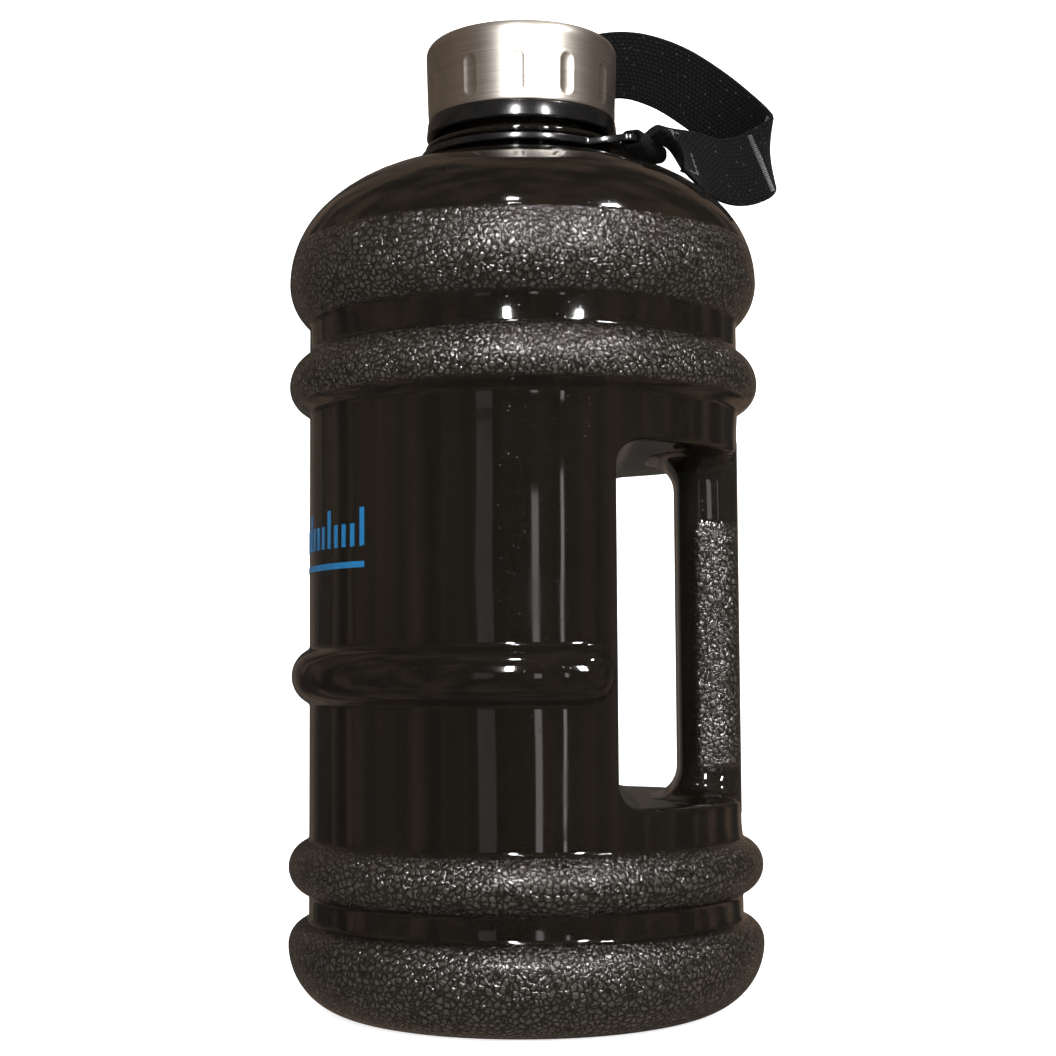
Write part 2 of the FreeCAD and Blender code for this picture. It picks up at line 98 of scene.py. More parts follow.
def arc_row(cr: float, cz: float, radius: float, start: float, end: float, step: float = 6.0) -> Row:
    """Points along an arc of an outline.

    Args:
        cr: the centre's distance from the axis.
        cz: the centre's height.
        radius: the arc's radius.
        start: first angle in degrees, 0 pointing outwards and 90 up.
        end: last angle in degrees.
        step: the most degrees between points.

    Returns:
        Pairs of distance from the axis and height.
    """
    count = max(2, int(abs(end - start) / step) + 2)
    turns = np.radians(np.linspace(start, end, count))
    return [(cr + radius * math.cos(a), cz + radius * math.sin(a)) for a in turns]


def softened(row: Row, reach: float, step: float = 0.25, turn: float = 5.0, longest: float = 6.0) -> Row:
    """Rounds an outline's corners as a mould does, and keeps only the points it needs.

    Args:
        row: the outline's points.
        reach: how far the rounding reaches, in millimetres.
        step: spacing of the working points.
        turn: the most degrees between two kept stretches.
        longest: the longest kept stretch.

    Returns:
        The rounded outline.
    """
    line = np.array(row, float)
    along = np.concatenate([[0], np.cumsum(np.linalg.norm(np.diff(line, axis=0), axis=1))])
    at = np.linspace(0, along[-1], int(along[-1] / step) + 1)
    fine = np.stack([np.interp(at, along, line[:, k]) for k in (0, 1)], axis=1)
    half = int(3 * reach / step)
    bell = np.exp(-0.5 * (np.arange(-half, half + 1) * step / reach) ** 2)
    ends = np.concatenate([2 * fine[:1] - fine[half:0:-1], fine, 2 * fine[-1:] - fine[-2 : -half - 2 : -1]])
    round_line = np.stack([np.convolve(ends[:, k], bell / bell.sum(), "valid") for k in (0, 1)], axis=1)
    kept = [0]
    for i in range(1, len(round_line) - 1):
        back = round_line[i] - round_line[kept[-1]]
        ahead = round_line[i + 1] - round_line[i]
        bend = abs(math.atan2(back[0] * ahead[1] - back[1] * ahead[0], back @ ahead))
        if math.degrees(bend) > turn / 2 or np.linalg.norm(back) > longest:
            kept.append(i)
    kept.append(len(round_line) - 1)
    return [tuple(round_line[i]) for i in kept]


def lathe(row: Row, turns: np.ndarray, axis_end: bool = False) -> tuple[np.ndarray, list[tuple[int, ...]]]:
    """Turns an outline about the jug's axis.

    Args:
        row: pairs of distance from the axis and height.
        turns: the angles of the columns, in radians.
        axis_end: whether the first point is on the axis and closes the surface there.

    Returns:
        The points and the faces.
    """
    points = [(r * math.cos(a), r * math.sin(a), z) for r, z in row for a in turns]
    faces = grid_faces(len(row), len(turns), True)
    if axis_end:
        faces.append(tuple(reversed(range(len(turns)))))
    return np.array(points), faces


def soft_step(value: np.ndarray, low: float, high: float) -> np.ndarray:
    """0 below low, 1 above high and smooth between."""
    t = np.clip((value - low) / (high - low), 0, 1)
    return t * t * (3 - 2 * t)


def soft_over(value: np.ndarray, width: float) -> np.ndarray:
    """The value where it is positive and 0 where it isn't, with a rounded foot of that width."""
    return width * np.logaddexp(0, value / width)


# ------------------------------------------------------------ material helpers


class Graph:
    """A node tree with short ways to add and link its nodes."""

    def __init__(self, tree: bpy.types.NodeTree) -> None:
        """Keeps the tree."""
        self.tree = tree

    def add(self, kind: str, values: dict | None = None, **settings: object) -> bpy.types.Node:
        """Adds a node.

        Args:
            kind: the node's type name, without "ShaderNode" in front.
            values: socket names with the constant or the output socket that feeds each.
            **settings: the node's own properties.

        Returns:
            The node.
        """
        full = kind if kind.startswith("Node") else "ShaderNode" + kind
        node = self.tree.nodes.new(full)
        for key, value in settings.items():
            setattr(node, key, value)
        for key, value in (values or {}).items():
            self.put(node.inputs[key], value)
        return node

    def put(self, socket: bpy.types.NodeSocket, value: object) -> None:
        """Links an output socket to the input, or sets the input's constant."""
        if isinstance(value, bpy.types.NodeSocket):
            self.tree.links.new(value, socket)
        else:
            socket.default_value = value

    def maths(self, operation: str, *values: object) -> bpy.types.NodeSocket:
        """One Math node's result."""
        node = self.add("Math", operation=operation)
        for socket, value in zip(node.inputs, values):
            self.put(socket, value)
        return node.outputs[0]

    def ramp(self, value: object, low: float, high: float, out_low: float = 0.0, out_high: float = 1.0) -> bpy.types.NodeSocket:
        """A value mapped smoothly from low..high to out_low..out_high."""
        node = self.add(
            "MapRange",
            {"Value": value, "From Min": low, "From Max": high, "To Min": out_low, "To Max": out_high},
            interpolation_type="SMOOTHSTEP",
        )
        return node.outputs["Result"]

    def blend(self, share: object, one: object, two: object) -> bpy.types.NodeSocket:
        """A colour mixed from one to two."""
        node = self.add("Mix", data_type="RGBA")
        self.put(node.inputs[0], share)
        self.put(node.inputs[6], one)
        self.put(node.inputs[7], two)
        return node.outputs[2]


@dataclass(frozen=True)
class Socket:
    """A named input or output of a shared shader group."""

    name: str
    kind: str = "NodeSocketFloat"
    value: object = None


def shared_group(
    name: str, inputs: Sequence[Socket], outputs: Sequence[Socket], fill: Callable[[Graph, bpy.types.Node, bpy.types.Node], None]
) -> bpy.types.NodeTree:
    """Builds a shader group once.

    Args:
        name: the group's name.
        inputs: its inputs, in order.
        outputs: its outputs, in order.
        fill: adds the group's nodes, given its graph, input node and output node.

    Returns:
        The group.
    """
    if name in bpy.data.node_groups:
        return bpy.data.node_groups[name]
    tree = bpy.data.node_groups.new(name, "ShaderNodeTree")
    for side, sockets in (("INPUT", inputs), ("OUTPUT", outputs)):
        for entry in sockets:
            made = tree.interface.new_socket(entry.name, in_out=side, socket_type=entry.kind)
            if entry.value is not None:
                made.default_value = entry.value
    graph = Graph(tree)
    fill(graph, graph.add("NodeGroupInput"), graph.add("NodeGroupOutput"))
    return tree


def pebble_grain() -> bpy.types.NodeTree:
    """The moulded leather grain: worm-like pebbles with flat tops and thin valleys."""

    def fill(g: Graph, given: bpy.types.Node, result: bpy.types.Node) -> None:
        """Adds the grain's nodes."""
        wander = g.add("TexNoise", {"Vector": given.outputs["Vector"], "Scale": given.outputs["Scale"], "Detail": 2.0})
        push = g.add("VectorMath", {0: wander.outputs["Color"], 1: (0.5, 0.5, 0.5)}, operation="SUBTRACT")
        drift = g.add("VectorMath", {0: push.outputs[0]}, operation="SCALE")
        g.put(drift.inputs["Scale"], given.outputs["Wander"])
        place = g.add("VectorMath", {0: given.outputs["Vector"], 1: drift.outputs[0]}, operation="ADD")
        cells = g.add("TexVoronoi", {"Vector": place.outputs[0], "Scale": given.outputs["Scale"]}, feature="DISTANCE_TO_EDGE")
        tops = g.ramp(cells.outputs["Distance"], 0.0, 0.3)
        small = g.add("TexNoise", {"Vector": place.outputs[0], "Scale": g.maths("MULTIPLY", given.outputs["Scale"], 1.3), "Detail": 3.0})
        g.put(result.inputs["Height"], g.maths("ADD", g.maths("MULTIPLY", tops, 0.7), g.maths("MULTIPLY", small.outputs["Fac"], 0.6)))
        g.put(result.inputs["Valley"], g.maths("SUBTRACT", 1.0, tops))

    inputs = [
        Socket("Vector", "NodeSocketVector"),
        Socket("Scale", value=700.0),
        Socket("Wander", value=0.0008),
    ]
    return shared_group("pebble_grain", inputs, [Socket("Height"), Socket("Valley")], fill)


def height_band() -> bpy.types.NodeTree:
    """A mask that is 1 between two heights, with soft edges."""

    def fill(g: Graph, given: bpy.types.Node, result: bpy.types.Node) -> None:
        """Adds the band's nodes."""
        height = g.add("SeparateXYZ", {0: given.outputs["Vector"]}).outputs["Z"]
        soft = given.outputs["Soft"]
        up = g.maths("DIVIDE", g.maths("SUBTRACT", height, given.outputs["Low"]), soft)
        down = g.maths("DIVIDE", g.maths("SUBTRACT", given.outputs["High"], height), soft)
        g.put(result.inputs["Mask"], g.ramp(g.maths("MINIMUM", up, down), -0.5, 0.5))

    inputs = [Socket("Vector", "NodeSocketVector"), Socket("Low"), Socket("High"), Socket("Soft", value=0.001)]
    return shared_group("height_band", inputs, [Socket("Mask")], fill)


def handled_film() -> bpy.types.NodeTree:
    """Faint smears, dust specks and hairline scratches that handling leaves."""

    def fill(g: Graph, given: bpy.types.Node, result: bpy.types.Node) -> None:
        """Adds the film's nodes."""
        place = given.outputs["Vector"]
        smear = g.add("TexNoise", {"Vector": place, "Scale": 38.0, "Detail": 5.0, "Distortion": 1.2})
        specks = g.add("TexVoronoi", {"Vector": place, "Scale": 420.0})
        long = g.add("Mapping", {"Vector": place, "Scale": (90.0, 90.0, 900.0), "Rotation": (0.3, 0.2, 0.0)})
        hairs = g.add("TexNoise", {"Vector": long.outputs[0], "Scale": 1.0, "Detail": 2.0})
        g.put(result.inputs["Smear"], g.maths("MULTIPLY", g.ramp(smear.outputs["Fac"], 0.45, 0.75), given.outputs["Amount"]))
        g.put(result.inputs["Specks"], g.maths("MULTIPLY", g.ramp(specks.outputs["Distance"], 0.14, 0.08), given.outputs["Amount"]))
        g.put(result.inputs["Hairs"], g.maths("MULTIPLY", g.ramp(hairs.outputs["Fac"], 0.62, 0.72), given.outputs["Amount"]))

    inputs = [Socket("Vector", "NodeSocketVector"), Socket("Amount", value=1.0)]
    return shared_group("handled_film", inputs, [Socket("Smear"), Socket("Specks"), Socket("Hairs")], fill)


def narrow_weave() -> bpy.types.NodeTree:
    """Plain-woven webbing: ribs along it, picks across it, and the yarns' own twist."""

    def fill(g: Graph, given: bpy.types.Node, result: bpy.types.Node) -> None:
        """Adds the weave's nodes."""
        parts = g.add("SeparateXYZ", {0: given.outputs["Vector"]})
        across = g.maths("MULTIPLY", parts.outputs["X"], given.outputs["Ribs"])
        along = g.maths("MULTIPLY", parts.outputs["Y"], given.outputs["Picks"])
        turn = g.maths("MULTIPLY", across, math.pi)
        shift = g.maths("MULTIPLY", g.maths("FLOOR", across), 0.5)
        over = g.maths("MULTIPLY", g.maths("ADD", along, shift), 2 * math.pi)
        rib = g.maths("ABSOLUTE", g.maths("SINE", turn))
        pick = g.maths("ADD", g.maths("MULTIPLY", g.maths("SINE", over), 0.5), 0.5)
        fine = g.add("TexNoise", {"Vector": given.outputs["Vector"], "Scale": 260.0, "Detail": 4.0})
        height = g.maths("MULTIPLY", g.maths("POWER", rib, 0.6), g.maths("ADD", g.maths("MULTIPLY", pick, 0.6), 0.4))
        g.put(result.inputs["Height"], g.maths("ADD", height, g.maths("MULTIPLY", fine.outputs["Fac"], 0.25)))
        g.put(result.inputs["Top"], g.maths("MULTIPLY", rib, pick))
        g.put(result.inputs["Fuzz"], fine.outputs["Fac"])

    inputs = [Socket("Vector", "NodeSocketVector"), Socket("Ribs", value=16.0), Socket("Picks", value=600.0)]
    return shared_group("narrow_weave", inputs, [Socket("Height"), Socket("Top"), Socket("Fuzz")], fill)


def new_material(name: str) -> tuple[bpy.types.Material, Graph, bpy.types.Node]:
    """A material with an empty graph but for its surface shader and output.

    Args:
        name: the material's name.

    Returns:
        The material, its graph and its Principled BSDF.
    """
    material = bpy.data.materials.new(name)
    material.use_nodes = True
    material.node_tree.nodes.clear()
    graph = Graph(material.node_tree)
    surface = graph.add("BsdfPrincipled")
    graph.add("OutputMaterial", {"Surface": surface.outputs[0]})
    return material, graph, surface


def group_node(g: Graph, tree: bpy.types.NodeTree, values: dict) -> bpy.types.Node:
    """Places a shared group in a graph, with its values."""
    node = g.add("Group", node_tree=tree)
    for key, value in values.items():
        g.put(node.inputs[key], value)
    return node


@dataclass(frozen=True)
class SmokyPlastic:
    """The body's see-through plastic, with leather grain between the given heights."""

    name: str
    bands: tuple[tuple[float, float], ...] = ()
    patch: tuple[float, float, float] | None = None
    colour: tuple[float, float, float, float] = (0.0022, 0.0019, 0.0016, 1.0)
    thin_colour: tuple[float, float, float, float] = (0.0050, 0.0040, 0.0028, 1.0)
    cover: float = 0.955
    gloss: float = 0.05
    grain_gloss: float = 0.17
    # painted highlight: the colour painted on the pebbles' raised tops, lighter than the plastic itself
    grain_top_highlight: tuple[float, float, float, float] = (0.024, 0.021, 0.018, 1.0)

    def build(self) -> bpy.types.Material:
        """Makes the material."""
        material, g, surface = new_material(self.name)
        place = g.add("TexCoord").outputs["Object"]
        grained = self.mask(g, place)
        grain = group_node(g, pebble_grain(), {"Vector": place, "Scale": 620.0, "Wander": 0.0008})
        film = group_node(g, handled_film(), {"Vector": place, "Amount": 1.0})
        swirl = g.add("TexNoise", {"Vector": place, "Scale": 14.0, "Detail": 3.0, "Distortion": 0.6}).outputs["Fac"]
        tone = g.blend(swirl, self.colour, self.thin_colour)
        # painted highlight and shade: the raised pebble tops are painted lighter, the valleys between them stay darker
        highlit_tops = g.maths("MULTIPLY", g.maths("SUBTRACT", 1.0, grain.outputs["Valley"]), grained)
        tone = g.blend(highlit_tops, tone, self.grain_top_highlight)
        g.put(surface.inputs["Base Color"], tone)
        rough = g.maths("ADD", self.gloss, g.maths("MULTIPLY", grained, self.grain_gloss - self.gloss))
        rough = g.maths("ADD", rough, g.maths("MULTIPLY", film.outputs["Smear"], 0.05))
        g.put(surface.inputs["Roughness"], g.maths("ADD", rough, g.maths("MULTIPLY", film.outputs["Specks"], 0.15)))
        g.put(surface.inputs["Alpha"], g.maths("ADD", self.cover, g.maths("MULTIPLY", grained, (1 - self.cover) * 0.8)))
        surface.inputs["IOR"].default_value = 1.55
        wave = g.add("TexNoise", {"Vector": place, "Scale": 16.0, "Detail": 1.0}).outputs["Fac"]
        slow = g.add("Bump", {"Height": wave, "Strength": 0.5, "Distance": 0.0016})
        height = g.maths("MULTIPLY", grain.outputs["Height"], grained)
        fast = g.add("Bump", {"Height": height, "Strength": 1.0, "Distance": 0.00034, "Normal": slow.outputs[0]})
        g.put(surface.inputs["Normal"], fast.outputs[0])
        return material

    def mask(self, g: Graph, place: bpy.types.NodeSocket) -> bpy.types.NodeSocket:
        """Where the surface is grained.

        Args:
            g: the material's graph.
            place: the point on the object, in metres.

        Returns:
            A socket from 0 to 1.
        """
        total = g.maths("ADD", 0.0, 0.0)
        for low, high in self.bands:
            band = group_node(g, height_band(), {"Vector": place, "Low": low * MM, "High": high * MM, "Soft": 1.2 * MM})
            total = g.maths("MAXIMUM", total, band.outputs["Mask"])
        if self.patch:
            low, high, start_x = self.patch
            band = group_node(g, height_band(), {"Vector": place, "Low": low * MM, "High": high * MM, "Soft": 3.0 * MM})
            x = g.add("SeparateXYZ", {0: place}).outputs["X"]
            side = g.ramp(x, (start_x - 0.8) * MM, (start_x + 0.8) * MM)
            total = g.maths("MAXIMUM", total, g.maths("MULTIPLY", band.outputs["Mask"], side))
        return total


@dataclass(frozen=True)
class BrushedSteel:
    """Steel brushed round the cap, with faint handling marks."""

    name: str = "brushed_steel"
    colour: tuple[float, float, float, float] = (0.68, 0.635, 0.58, 1.0)

    def build(self) -> bpy.types.Material:
        """Makes the material."""
        material, g, surface = new_material(self.name)
        place = g.add("TexCoord").outputs["Object"]
        lines = g.add("Mapping", {"Vector": place, "Scale": (60.0, 60.0, 7000.0)})
        brush = g.add("TexNoise", {"Vector": lines.outputs[0], "Scale": 1.0, "Detail": 4.0}).outputs["Fac"]
        film = group_node(g, handled_film(), {"Vector": place, "Amount": 1.0})
        dull = g.blend(g.ramp(brush, 0.3, 0.7), (0.50, 0.455, 0.41, 1), self.colour)
        g.put(surface.inputs["Base Color"], g.blend(film.outputs["Smear"], dull, (0.45, 0.41, 0.37, 1)))
        rough = g.maths("ADD", 0.37, g.maths("MULTIPLY", brush, 0.12))
        g.put(surface.inputs["Roughness"], g.maths("ADD", rough, g.maths("MULTIPLY", film.outputs["Smear"], 0.08)))
        surface.inputs["Metallic"].default_value = 1.0
        surface.inputs["Anisotropic"].default_value = 0.55
        surface.inputs["Anisotropic Rotation"].default_value = 0.25
        g.put(surface.inputs["Tangent"], g.add("Tangent", direction_type="RADIAL", axis="Z").outputs[0])
        bump = g.add("Bump", {"Height": brush, "Strength": 0.22, "Distance": 0.00008})
        g.put(surface.inputs["Normal"], bump.outputs[0])
        return material


@dataclass(frozen=True)
class MouldedPlastic:
    """Opaque moulded plastic with a fine spark-eroded texture and rubbed patches."""

    name: str
    colour: tuple[float, float, float, float] = (0.012, 0.012, 0.013, 1.0)
    rubbed: tuple[float, float, float, float] = (0.03, 0.03, 0.032, 1.0)
    rough: float = 0.38
    texture: float = 0.2
    sheen: float = 0.0

    def build(self) -> bpy.types.Material:
        """Makes the material."""
        material, g, surface = new_material(self.name)
        place = g.add("TexCoord").outputs["Object"]
        film = group_node(g, handled_film(), {"Vector": place, "Amount": 1.0})
        spark = g.add("TexNoise", {"Vector": place, "Scale": 3200.0, "Detail": 3.0}).outputs["Fac"]
        g.put(surface.inputs["Base Color"], g.blend(film.outputs["Smear"], self.colour, self.rubbed))
        rough = g.maths("ADD", self.rough, g.maths("MULTIPLY", spark, 0.12))
        g.put(surface.inputs["Roughness"], g.maths("SUBTRACT", rough, g.maths("MULTIPLY", film.outputs["Smear"], 0.08)))
        surface.inputs["Sheen Weight"].default_value = self.sheen
        bump = g.add("Bump", {"Height": spark, "Strength": self.texture, "Distance": 0.00006})
        g.put(surface.inputs["Normal"], bump.outputs[0])
        return material


@dataclass(frozen=True)
class Webbing:
    """Black nylon webbing, woven along a map of its width and length."""

    name: str = "webbing"
    uv: str = "web"

    def build(self) -> bpy.types.Material:
        """Makes the material."""
        material, g, surface = new_material(self.name)
        place = g.add("UVMap", uv_map=self.uv).outputs[0]
        weave = group_node(g, narrow_weave(), {"Vector": place, "Ribs": 17.0, "Picks": 700.0})
        room = g.add("TexCoord").outputs["Object"]
        lint = group_node(g, handled_film(), {"Vector": room, "Amount": 1.0})
        # painted highlight and shade: the yarn tops are painted lighter than the valleys between the ribs
        tone = g.blend(weave.outputs["Top"], (0.001, 0.001, 0.001, 1), (0.0045, 0.0044, 0.0042, 1))
        tone = g.blend(g.maths("MULTIPLY", lint.outputs["Specks"], 0.25), tone, (0.09, 0.088, 0.082, 1))
        g.put(surface.inputs["Base Color"], tone)
        g.put(surface.inputs["Roughness"], g.ramp(weave.outputs["Fuzz"], 0.3, 0.7, 0.7, 0.9))
        surface.inputs["Sheen Weight"].default_value = 0.02
        surface.inputs["Sheen Roughness"].default_value = 0.4
        surface.inputs["Specular IOR Level"].default_value = 0.06
        bump = g.add("Bump", {"Height": weave.outputs["Height"], "Strength": 0.8, "Distance": 0.00025})
        g.put(surface.inputs["Normal"], bump.outputs[0])
        return material


@dataclass(frozen=True)
class PrintedInk:
    """Screen-printed ink: slightly mottled, worn through in scattered specks."""

    name: str = "printed_ink"

    def build(self) -> bpy.types.Material:
        """Makes the material."""
        material, g, surface = new_material(self.name)
        place = g.add("TexCoord").outputs["Object"]
        mottle = g.add("TexNoise", {"Vector": place, "Scale": 500.0, "Detail": 4.0}).outputs["Fac"]
        g.put(surface.inputs["Base Color"], g.blend(mottle, (0.002, 0.065, 0.16, 1), (0.004, 0.09, 0.21, 1)))
        g.put(surface.inputs["Roughness"], g.ramp(mottle, 0.3, 0.7, 0.28, 0.42))
        worn = g.add("TexNoise", {"Vector": place, "Scale": 900.0, "Detail": 2.0}).outputs["Fac"]
        g.put(surface.inputs["Alpha"], g.ramp(worn, 0.30, 0.36, 0.35, 1.0))
        bump = g.add("Bump", {"Height": mottle, "Strength": 0.2, "Distance": 0.00005})
        g.put(surface.inputs["Normal"], bump.outputs[0])
        return material


@dataclass(frozen=True)
class StudioPaper:
    """The pale floor and backdrop."""

    name: str = "studio_paper"

    def build(self) -> bpy.types.Material:
        """Makes the material."""
        material, g, surface = new_material(self.name)
        place = g.add("TexCoord").outputs["Object"]
        tooth = g.add("TexNoise", {"Vector": place, "Scale": 60.0, "Detail": 4.0}).outputs["Fac"]
        g.put(surface.inputs["Base Color"], g.blend(tooth, (0.82, 0.82, 0.82, 1), (0.86, 0.86, 0.86, 1)))
        surface.inputs["Roughness"].default_value = 0.75
        surface.inputs["Emission Color"].default_value = (1.0, 1.0, 1.0, 1.0)
        surface.inputs["Emission Strength"].default_value = 0.85
        return material


def dress(piece: bpy.types.Object, body: str, slot: str, *materials: bpy.types.Material) -> bpy.types.Object:
    """Gives a piece its materials and its body, and reports it.

    Args:
        piece: the finished piece.
        body: the body that it rides on.
        slot: a material slot's name; not used.
        *materials: its materials, one for each slot of the mesh.

    Returns:
        The piece.
    """
    piece.data.materials.clear()
    for material in materials:
        piece.data.materials.append(material)
    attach(piece, body)
    LOG.info("%s: %d faces on %s", piece.name, len(getattr(piece.data, "polygons", [])), body)
    return piece


# ------------------------------------------------------------------- the body


@dataclass
class JugBody:
    """The blown body with its swollen rings, notch, grip, rib and neck. Millimetres."""

    wall: float = 1.5
    barrel_r: float = 59.4
    crown_r: float = 65.0
    base_z: float = 18.5
    dome_r: float = 41.0
    dome_rise: float = 7.0
    shoulder_z: float = 198.5
    shoulder_r: float = 29.0
    shoulder_top_r: float = 42.0
    rings: tuple[tuple[float, float, float], ...] = ((31.7, 39.1, 46.2), (162.5, 170.0, 178.9))
    base_edge: float = 24.9
    crest_edge: float = 187.1
    notch_x: float = 23.3
    notch_low: float = 57.0
    notch_high: float = 150.0
    notch_round: float = 6.5
    lip: float = 2.2
    grip_x: float = 42.5
    grip_r: float = 59.3
    grip_half: float = 16.0
    grip_round: float = 6.5
    grip_flare: float = 8.0
    rib_z: float = 90.5
    rib_half: float = 7.5
    rib_proud: float = 4.9
    rib_end: float = 75.0
    mouth_r: float = 21.4
    neck_r: float = 25.5
    bead_r: float = 26.7
    bead: tuple[float, float] = (236.7, 238.5)
    finish_r: float = 23.2
    finish_low: float = 239.6
    neck_top: float = 260.5
    pitch: float = 4.0
    thread_depth: float = 1.4
    thread_start: float = 246.0
    thread_turns: float = 2.0
    zone: tuple[float, float] = (50.0, 157.0)
    turns: np.ndarray = field(init=False)

    def __post_init__(self) -> None:
        """Spaces the columns, closer where the notch's upright edges fall."""
        edge = math.degrees(math.acos(self.notch_x / self.barrel_r))
        steady = np.arange(-180.0, 180.0, 1.0)
        close = [side * edge + d for side in (-1, 1) for d in np.arange(-3.0, 2.5, 0.25)]
        degrees = np.unique(np.round(np.concatenate([steady, close]), 3))
        self.turns = np.radians(degrees)

    def swell(self, low: float | None, crown: float, high: float | None, inset: float) -> Row:
        """A swollen ring's outline from its lower to its upper edge; None leaves a half out."""
        wall = self.barrel_r - inset
        row: Row = []
        for edge_z, side in ((low, -1), (high, 1)):
            if edge_z is None:
                continue
            proud = self.crown_r - self.barrel_r
            radius = (proud**2 + (edge_z - crown) ** 2) / (2 * proud)
            centre, small = self.crown_r - radius, radius - inset
            turn = side * math.degrees(math.acos((wall - centre) / small))
            row += arc_row(centre, crown, small, *((turn, 0) if side < 0 else (0, turn)))
        return row

    def lower_row(self, inset: float) -> Row:
        """The outline from the middle of the base up to the foot of the notch's zone."""
        dish_r = (self.dome_r**2 + self.dome_rise**2) / (2 * self.dome_rise)
        centre, dish = self.dome_rise - dish_r, dish_r + inset
        foot = math.degrees(math.asin((inset - centre) / dish))
        row = arc_row(0, centre, dish, 89.9, foot, 2.0)
        row += arc_row(self.crown_r - self.base_z, self.base_z, self.base_z - inset, -90, 0)
        row += self.swell(None, self.base_z, self.base_edge, inset)
        row += self.swell(*self.rings[0], inset)
        row.append((self.barrel_r - inset, self.zone[0]))
        return row

    def upper_row(self, inset: float) -> Row:
        """The outline from the head of the notch's zone up to the foot of the neck."""
        row: Row = [(self.barrel_r - inset, self.zone[1])]
        row += self.swell(*self.rings[1], inset)
        row += self.swell(self.crest_edge, self.shoulder_z, None, inset)
        centre = self.crown_r - self.shoulder_r
        row += arc_row(centre, self.shoulder_z, self.shoulder_r - inset, 0, 45, 4)
        step = (self.shoulder_top_r - self.shoulder_r) * math.cos(math.radians(45))
        row += arc_row(centre - step, self.shoulder_z - step, self.shoulder_top_r - inset, 45, 90, 4)
        return row

    def neck_row(self) -> Row:
        """The outside of the neck, its rim, and the inside of the mouth."""
        low, high = self.bead
        middle, half = (low + high) / 2, (high - low) / 2
        row: Row = [(self.neck_r, self.upper_row(0)[-1][1] + 0.2), (self.neck_r, low - 0.2)]
        row += arc_row(self.bead_r - 0.3, middle, half, -90, 90, 20)
        row += [(self.finish_r + 0.6, self.finish_low - 0.3), (self.finish_r, self.finish_low + 0.8)]
        row += [(self.finish_r, self.neck_top - 0.6)]
        row += arc_row(self.finish_r - 0.6, self.neck_top - 0.6, 0.6, 0, 90, 20)
        row += arc_row(self.mouth_r + 0.5, self.neck_top - 0.5, 0.5, 90, 180, 20)
        row.append((self.mouth_r, self.upper_row(self.wall)[-1][1]))
        return row

    def rib_rise(self, angle: np.ndarray, z: np.ndarray) -> np.ndarray:
        """How far the rib stands off the barrel at an angle and a height."""
        small = (self.rib_proud**2 + self.rib_half**2) / (2 * self.rib_proud)
        short = math.radians(self.rib_end) - np.abs(angle)
        beyond = np.clip(short, 0, None) * self.barrel_r
        away = np.hypot(beyond, z - self.rib_z)
        dome = np.sqrt(np.clip(small**2 - away**2, 0, None)) - (small - self.rib_proud)
        dome = np.where(away < self.rib_half + 1.5, np.maximum(dome, -3.0), -3.0)
        return soft_over(dome, 0.28)

    def half_notch(self, angle: float, inset: float) -> np.ndarray:
        """One column of the notch's lower half: X and depth below its middle.

        Args:
            angle: the column's angle from +X, in radians.
            inset: how far inside the outer skin the surface lies.

        Returns:
            Rows of distance from the axis and height above the notch's floor.
        """
        outer = self.barrel_r - inset
        corner = self.notch_round + inset
        back = self.notch_x - inset
        run_up = np.linspace(self.zone[0] - self.notch_low, -self.lip, 6)
        half_tall = (self.notch_high - self.notch_low) / 2
        wall_z = self.wall_heights()
        reach = outer * math.cos(angle)
        if reach <= back + 0.02:
            start = np.linspace(run_up[0], corner - self.lip, 6)
            lip = np.linspace(corner - self.lip, corner - 0.4, 7)[1:]
            turn = np.linspace(corner - 0.4, corner + 0.2, 19)[1:]
            z = np.concatenate([start, lip, turn, wall_z])
            return np.stack([np.full(len(z), outer), z], axis=1)
        bend = np.radians(np.linspace(270, 180, 15))
        curve = np.stack([back + corner + corner * np.cos(bend), corner + corner * np.sin(bend) - inset], axis=1)
        if reach > back + corner:
            curve = np.concatenate([[[reach, -inset]], curve])
        else:
            spot = math.acos(np.clip((reach - back - corner) / corner, -1, 1))
            bend = np.linspace(2 * math.pi - spot, math.pi, 16)
            curve = np.stack([back + corner + corner * np.cos(bend), corner + corner * np.sin(bend) - inset], axis=1)
        along = np.concatenate([[0], np.cumsum(np.linalg.norm(np.diff(curve, axis=0), axis=1))])
        lip = min(self.lip, along[-1] * 0.5 + 0.01)
        crossing = curve[0]
        at = np.interp(lip, along, np.arange(len(curve)))
        first, share = int(at), at - int(at)
        after = curve[first] * (1 - share) + curve[min(first + 1, len(curve) - 1)] * share
        before = crossing - np.array([0, lip])
        s = np.linspace(0, 1, 7)[:, None]
        round_lip = before * (1 - s) ** 2 + crossing * 2 * s * (1 - s) + after * s**2
        rest = np.linspace(lip, along[-1], 19)[1:]
        run = np.stack([np.interp(rest, along, curve[:, k]) for k in (0, 1)], axis=1)
        start = np.linspace(run_up[0], before[1], 6)
        low = np.stack([np.full(6, reach), start], axis=1)
        wall = np.stack([np.full(len(wall_z), back), wall_z], axis=1)
        line = np.concatenate([low, round_lip[1:], run, wall])
        line[:, 0] = outer - soft_over(outer - line[:, 0] / math.cos(angle), 0.3)
        return np.minimum(line, [outer, half_tall + 1])

    def wall_heights(self) -> np.ndarray:
        """Heights above the notch's floor for the rows on its back wall, closer at the rib."""
        middle = (self.notch_high - self.notch_low) / 2
        rib = self.rib_z - self.notch_low
        below = np.linspace(self.notch_round + self.wall + 0.8, rib - self.rib_half - 2.5, 8)
        close = np.linspace(rib - self.rib_half - 2, rib + self.rib_half + 2, 34)
        return np.concatenate([below, close[close < middle]])

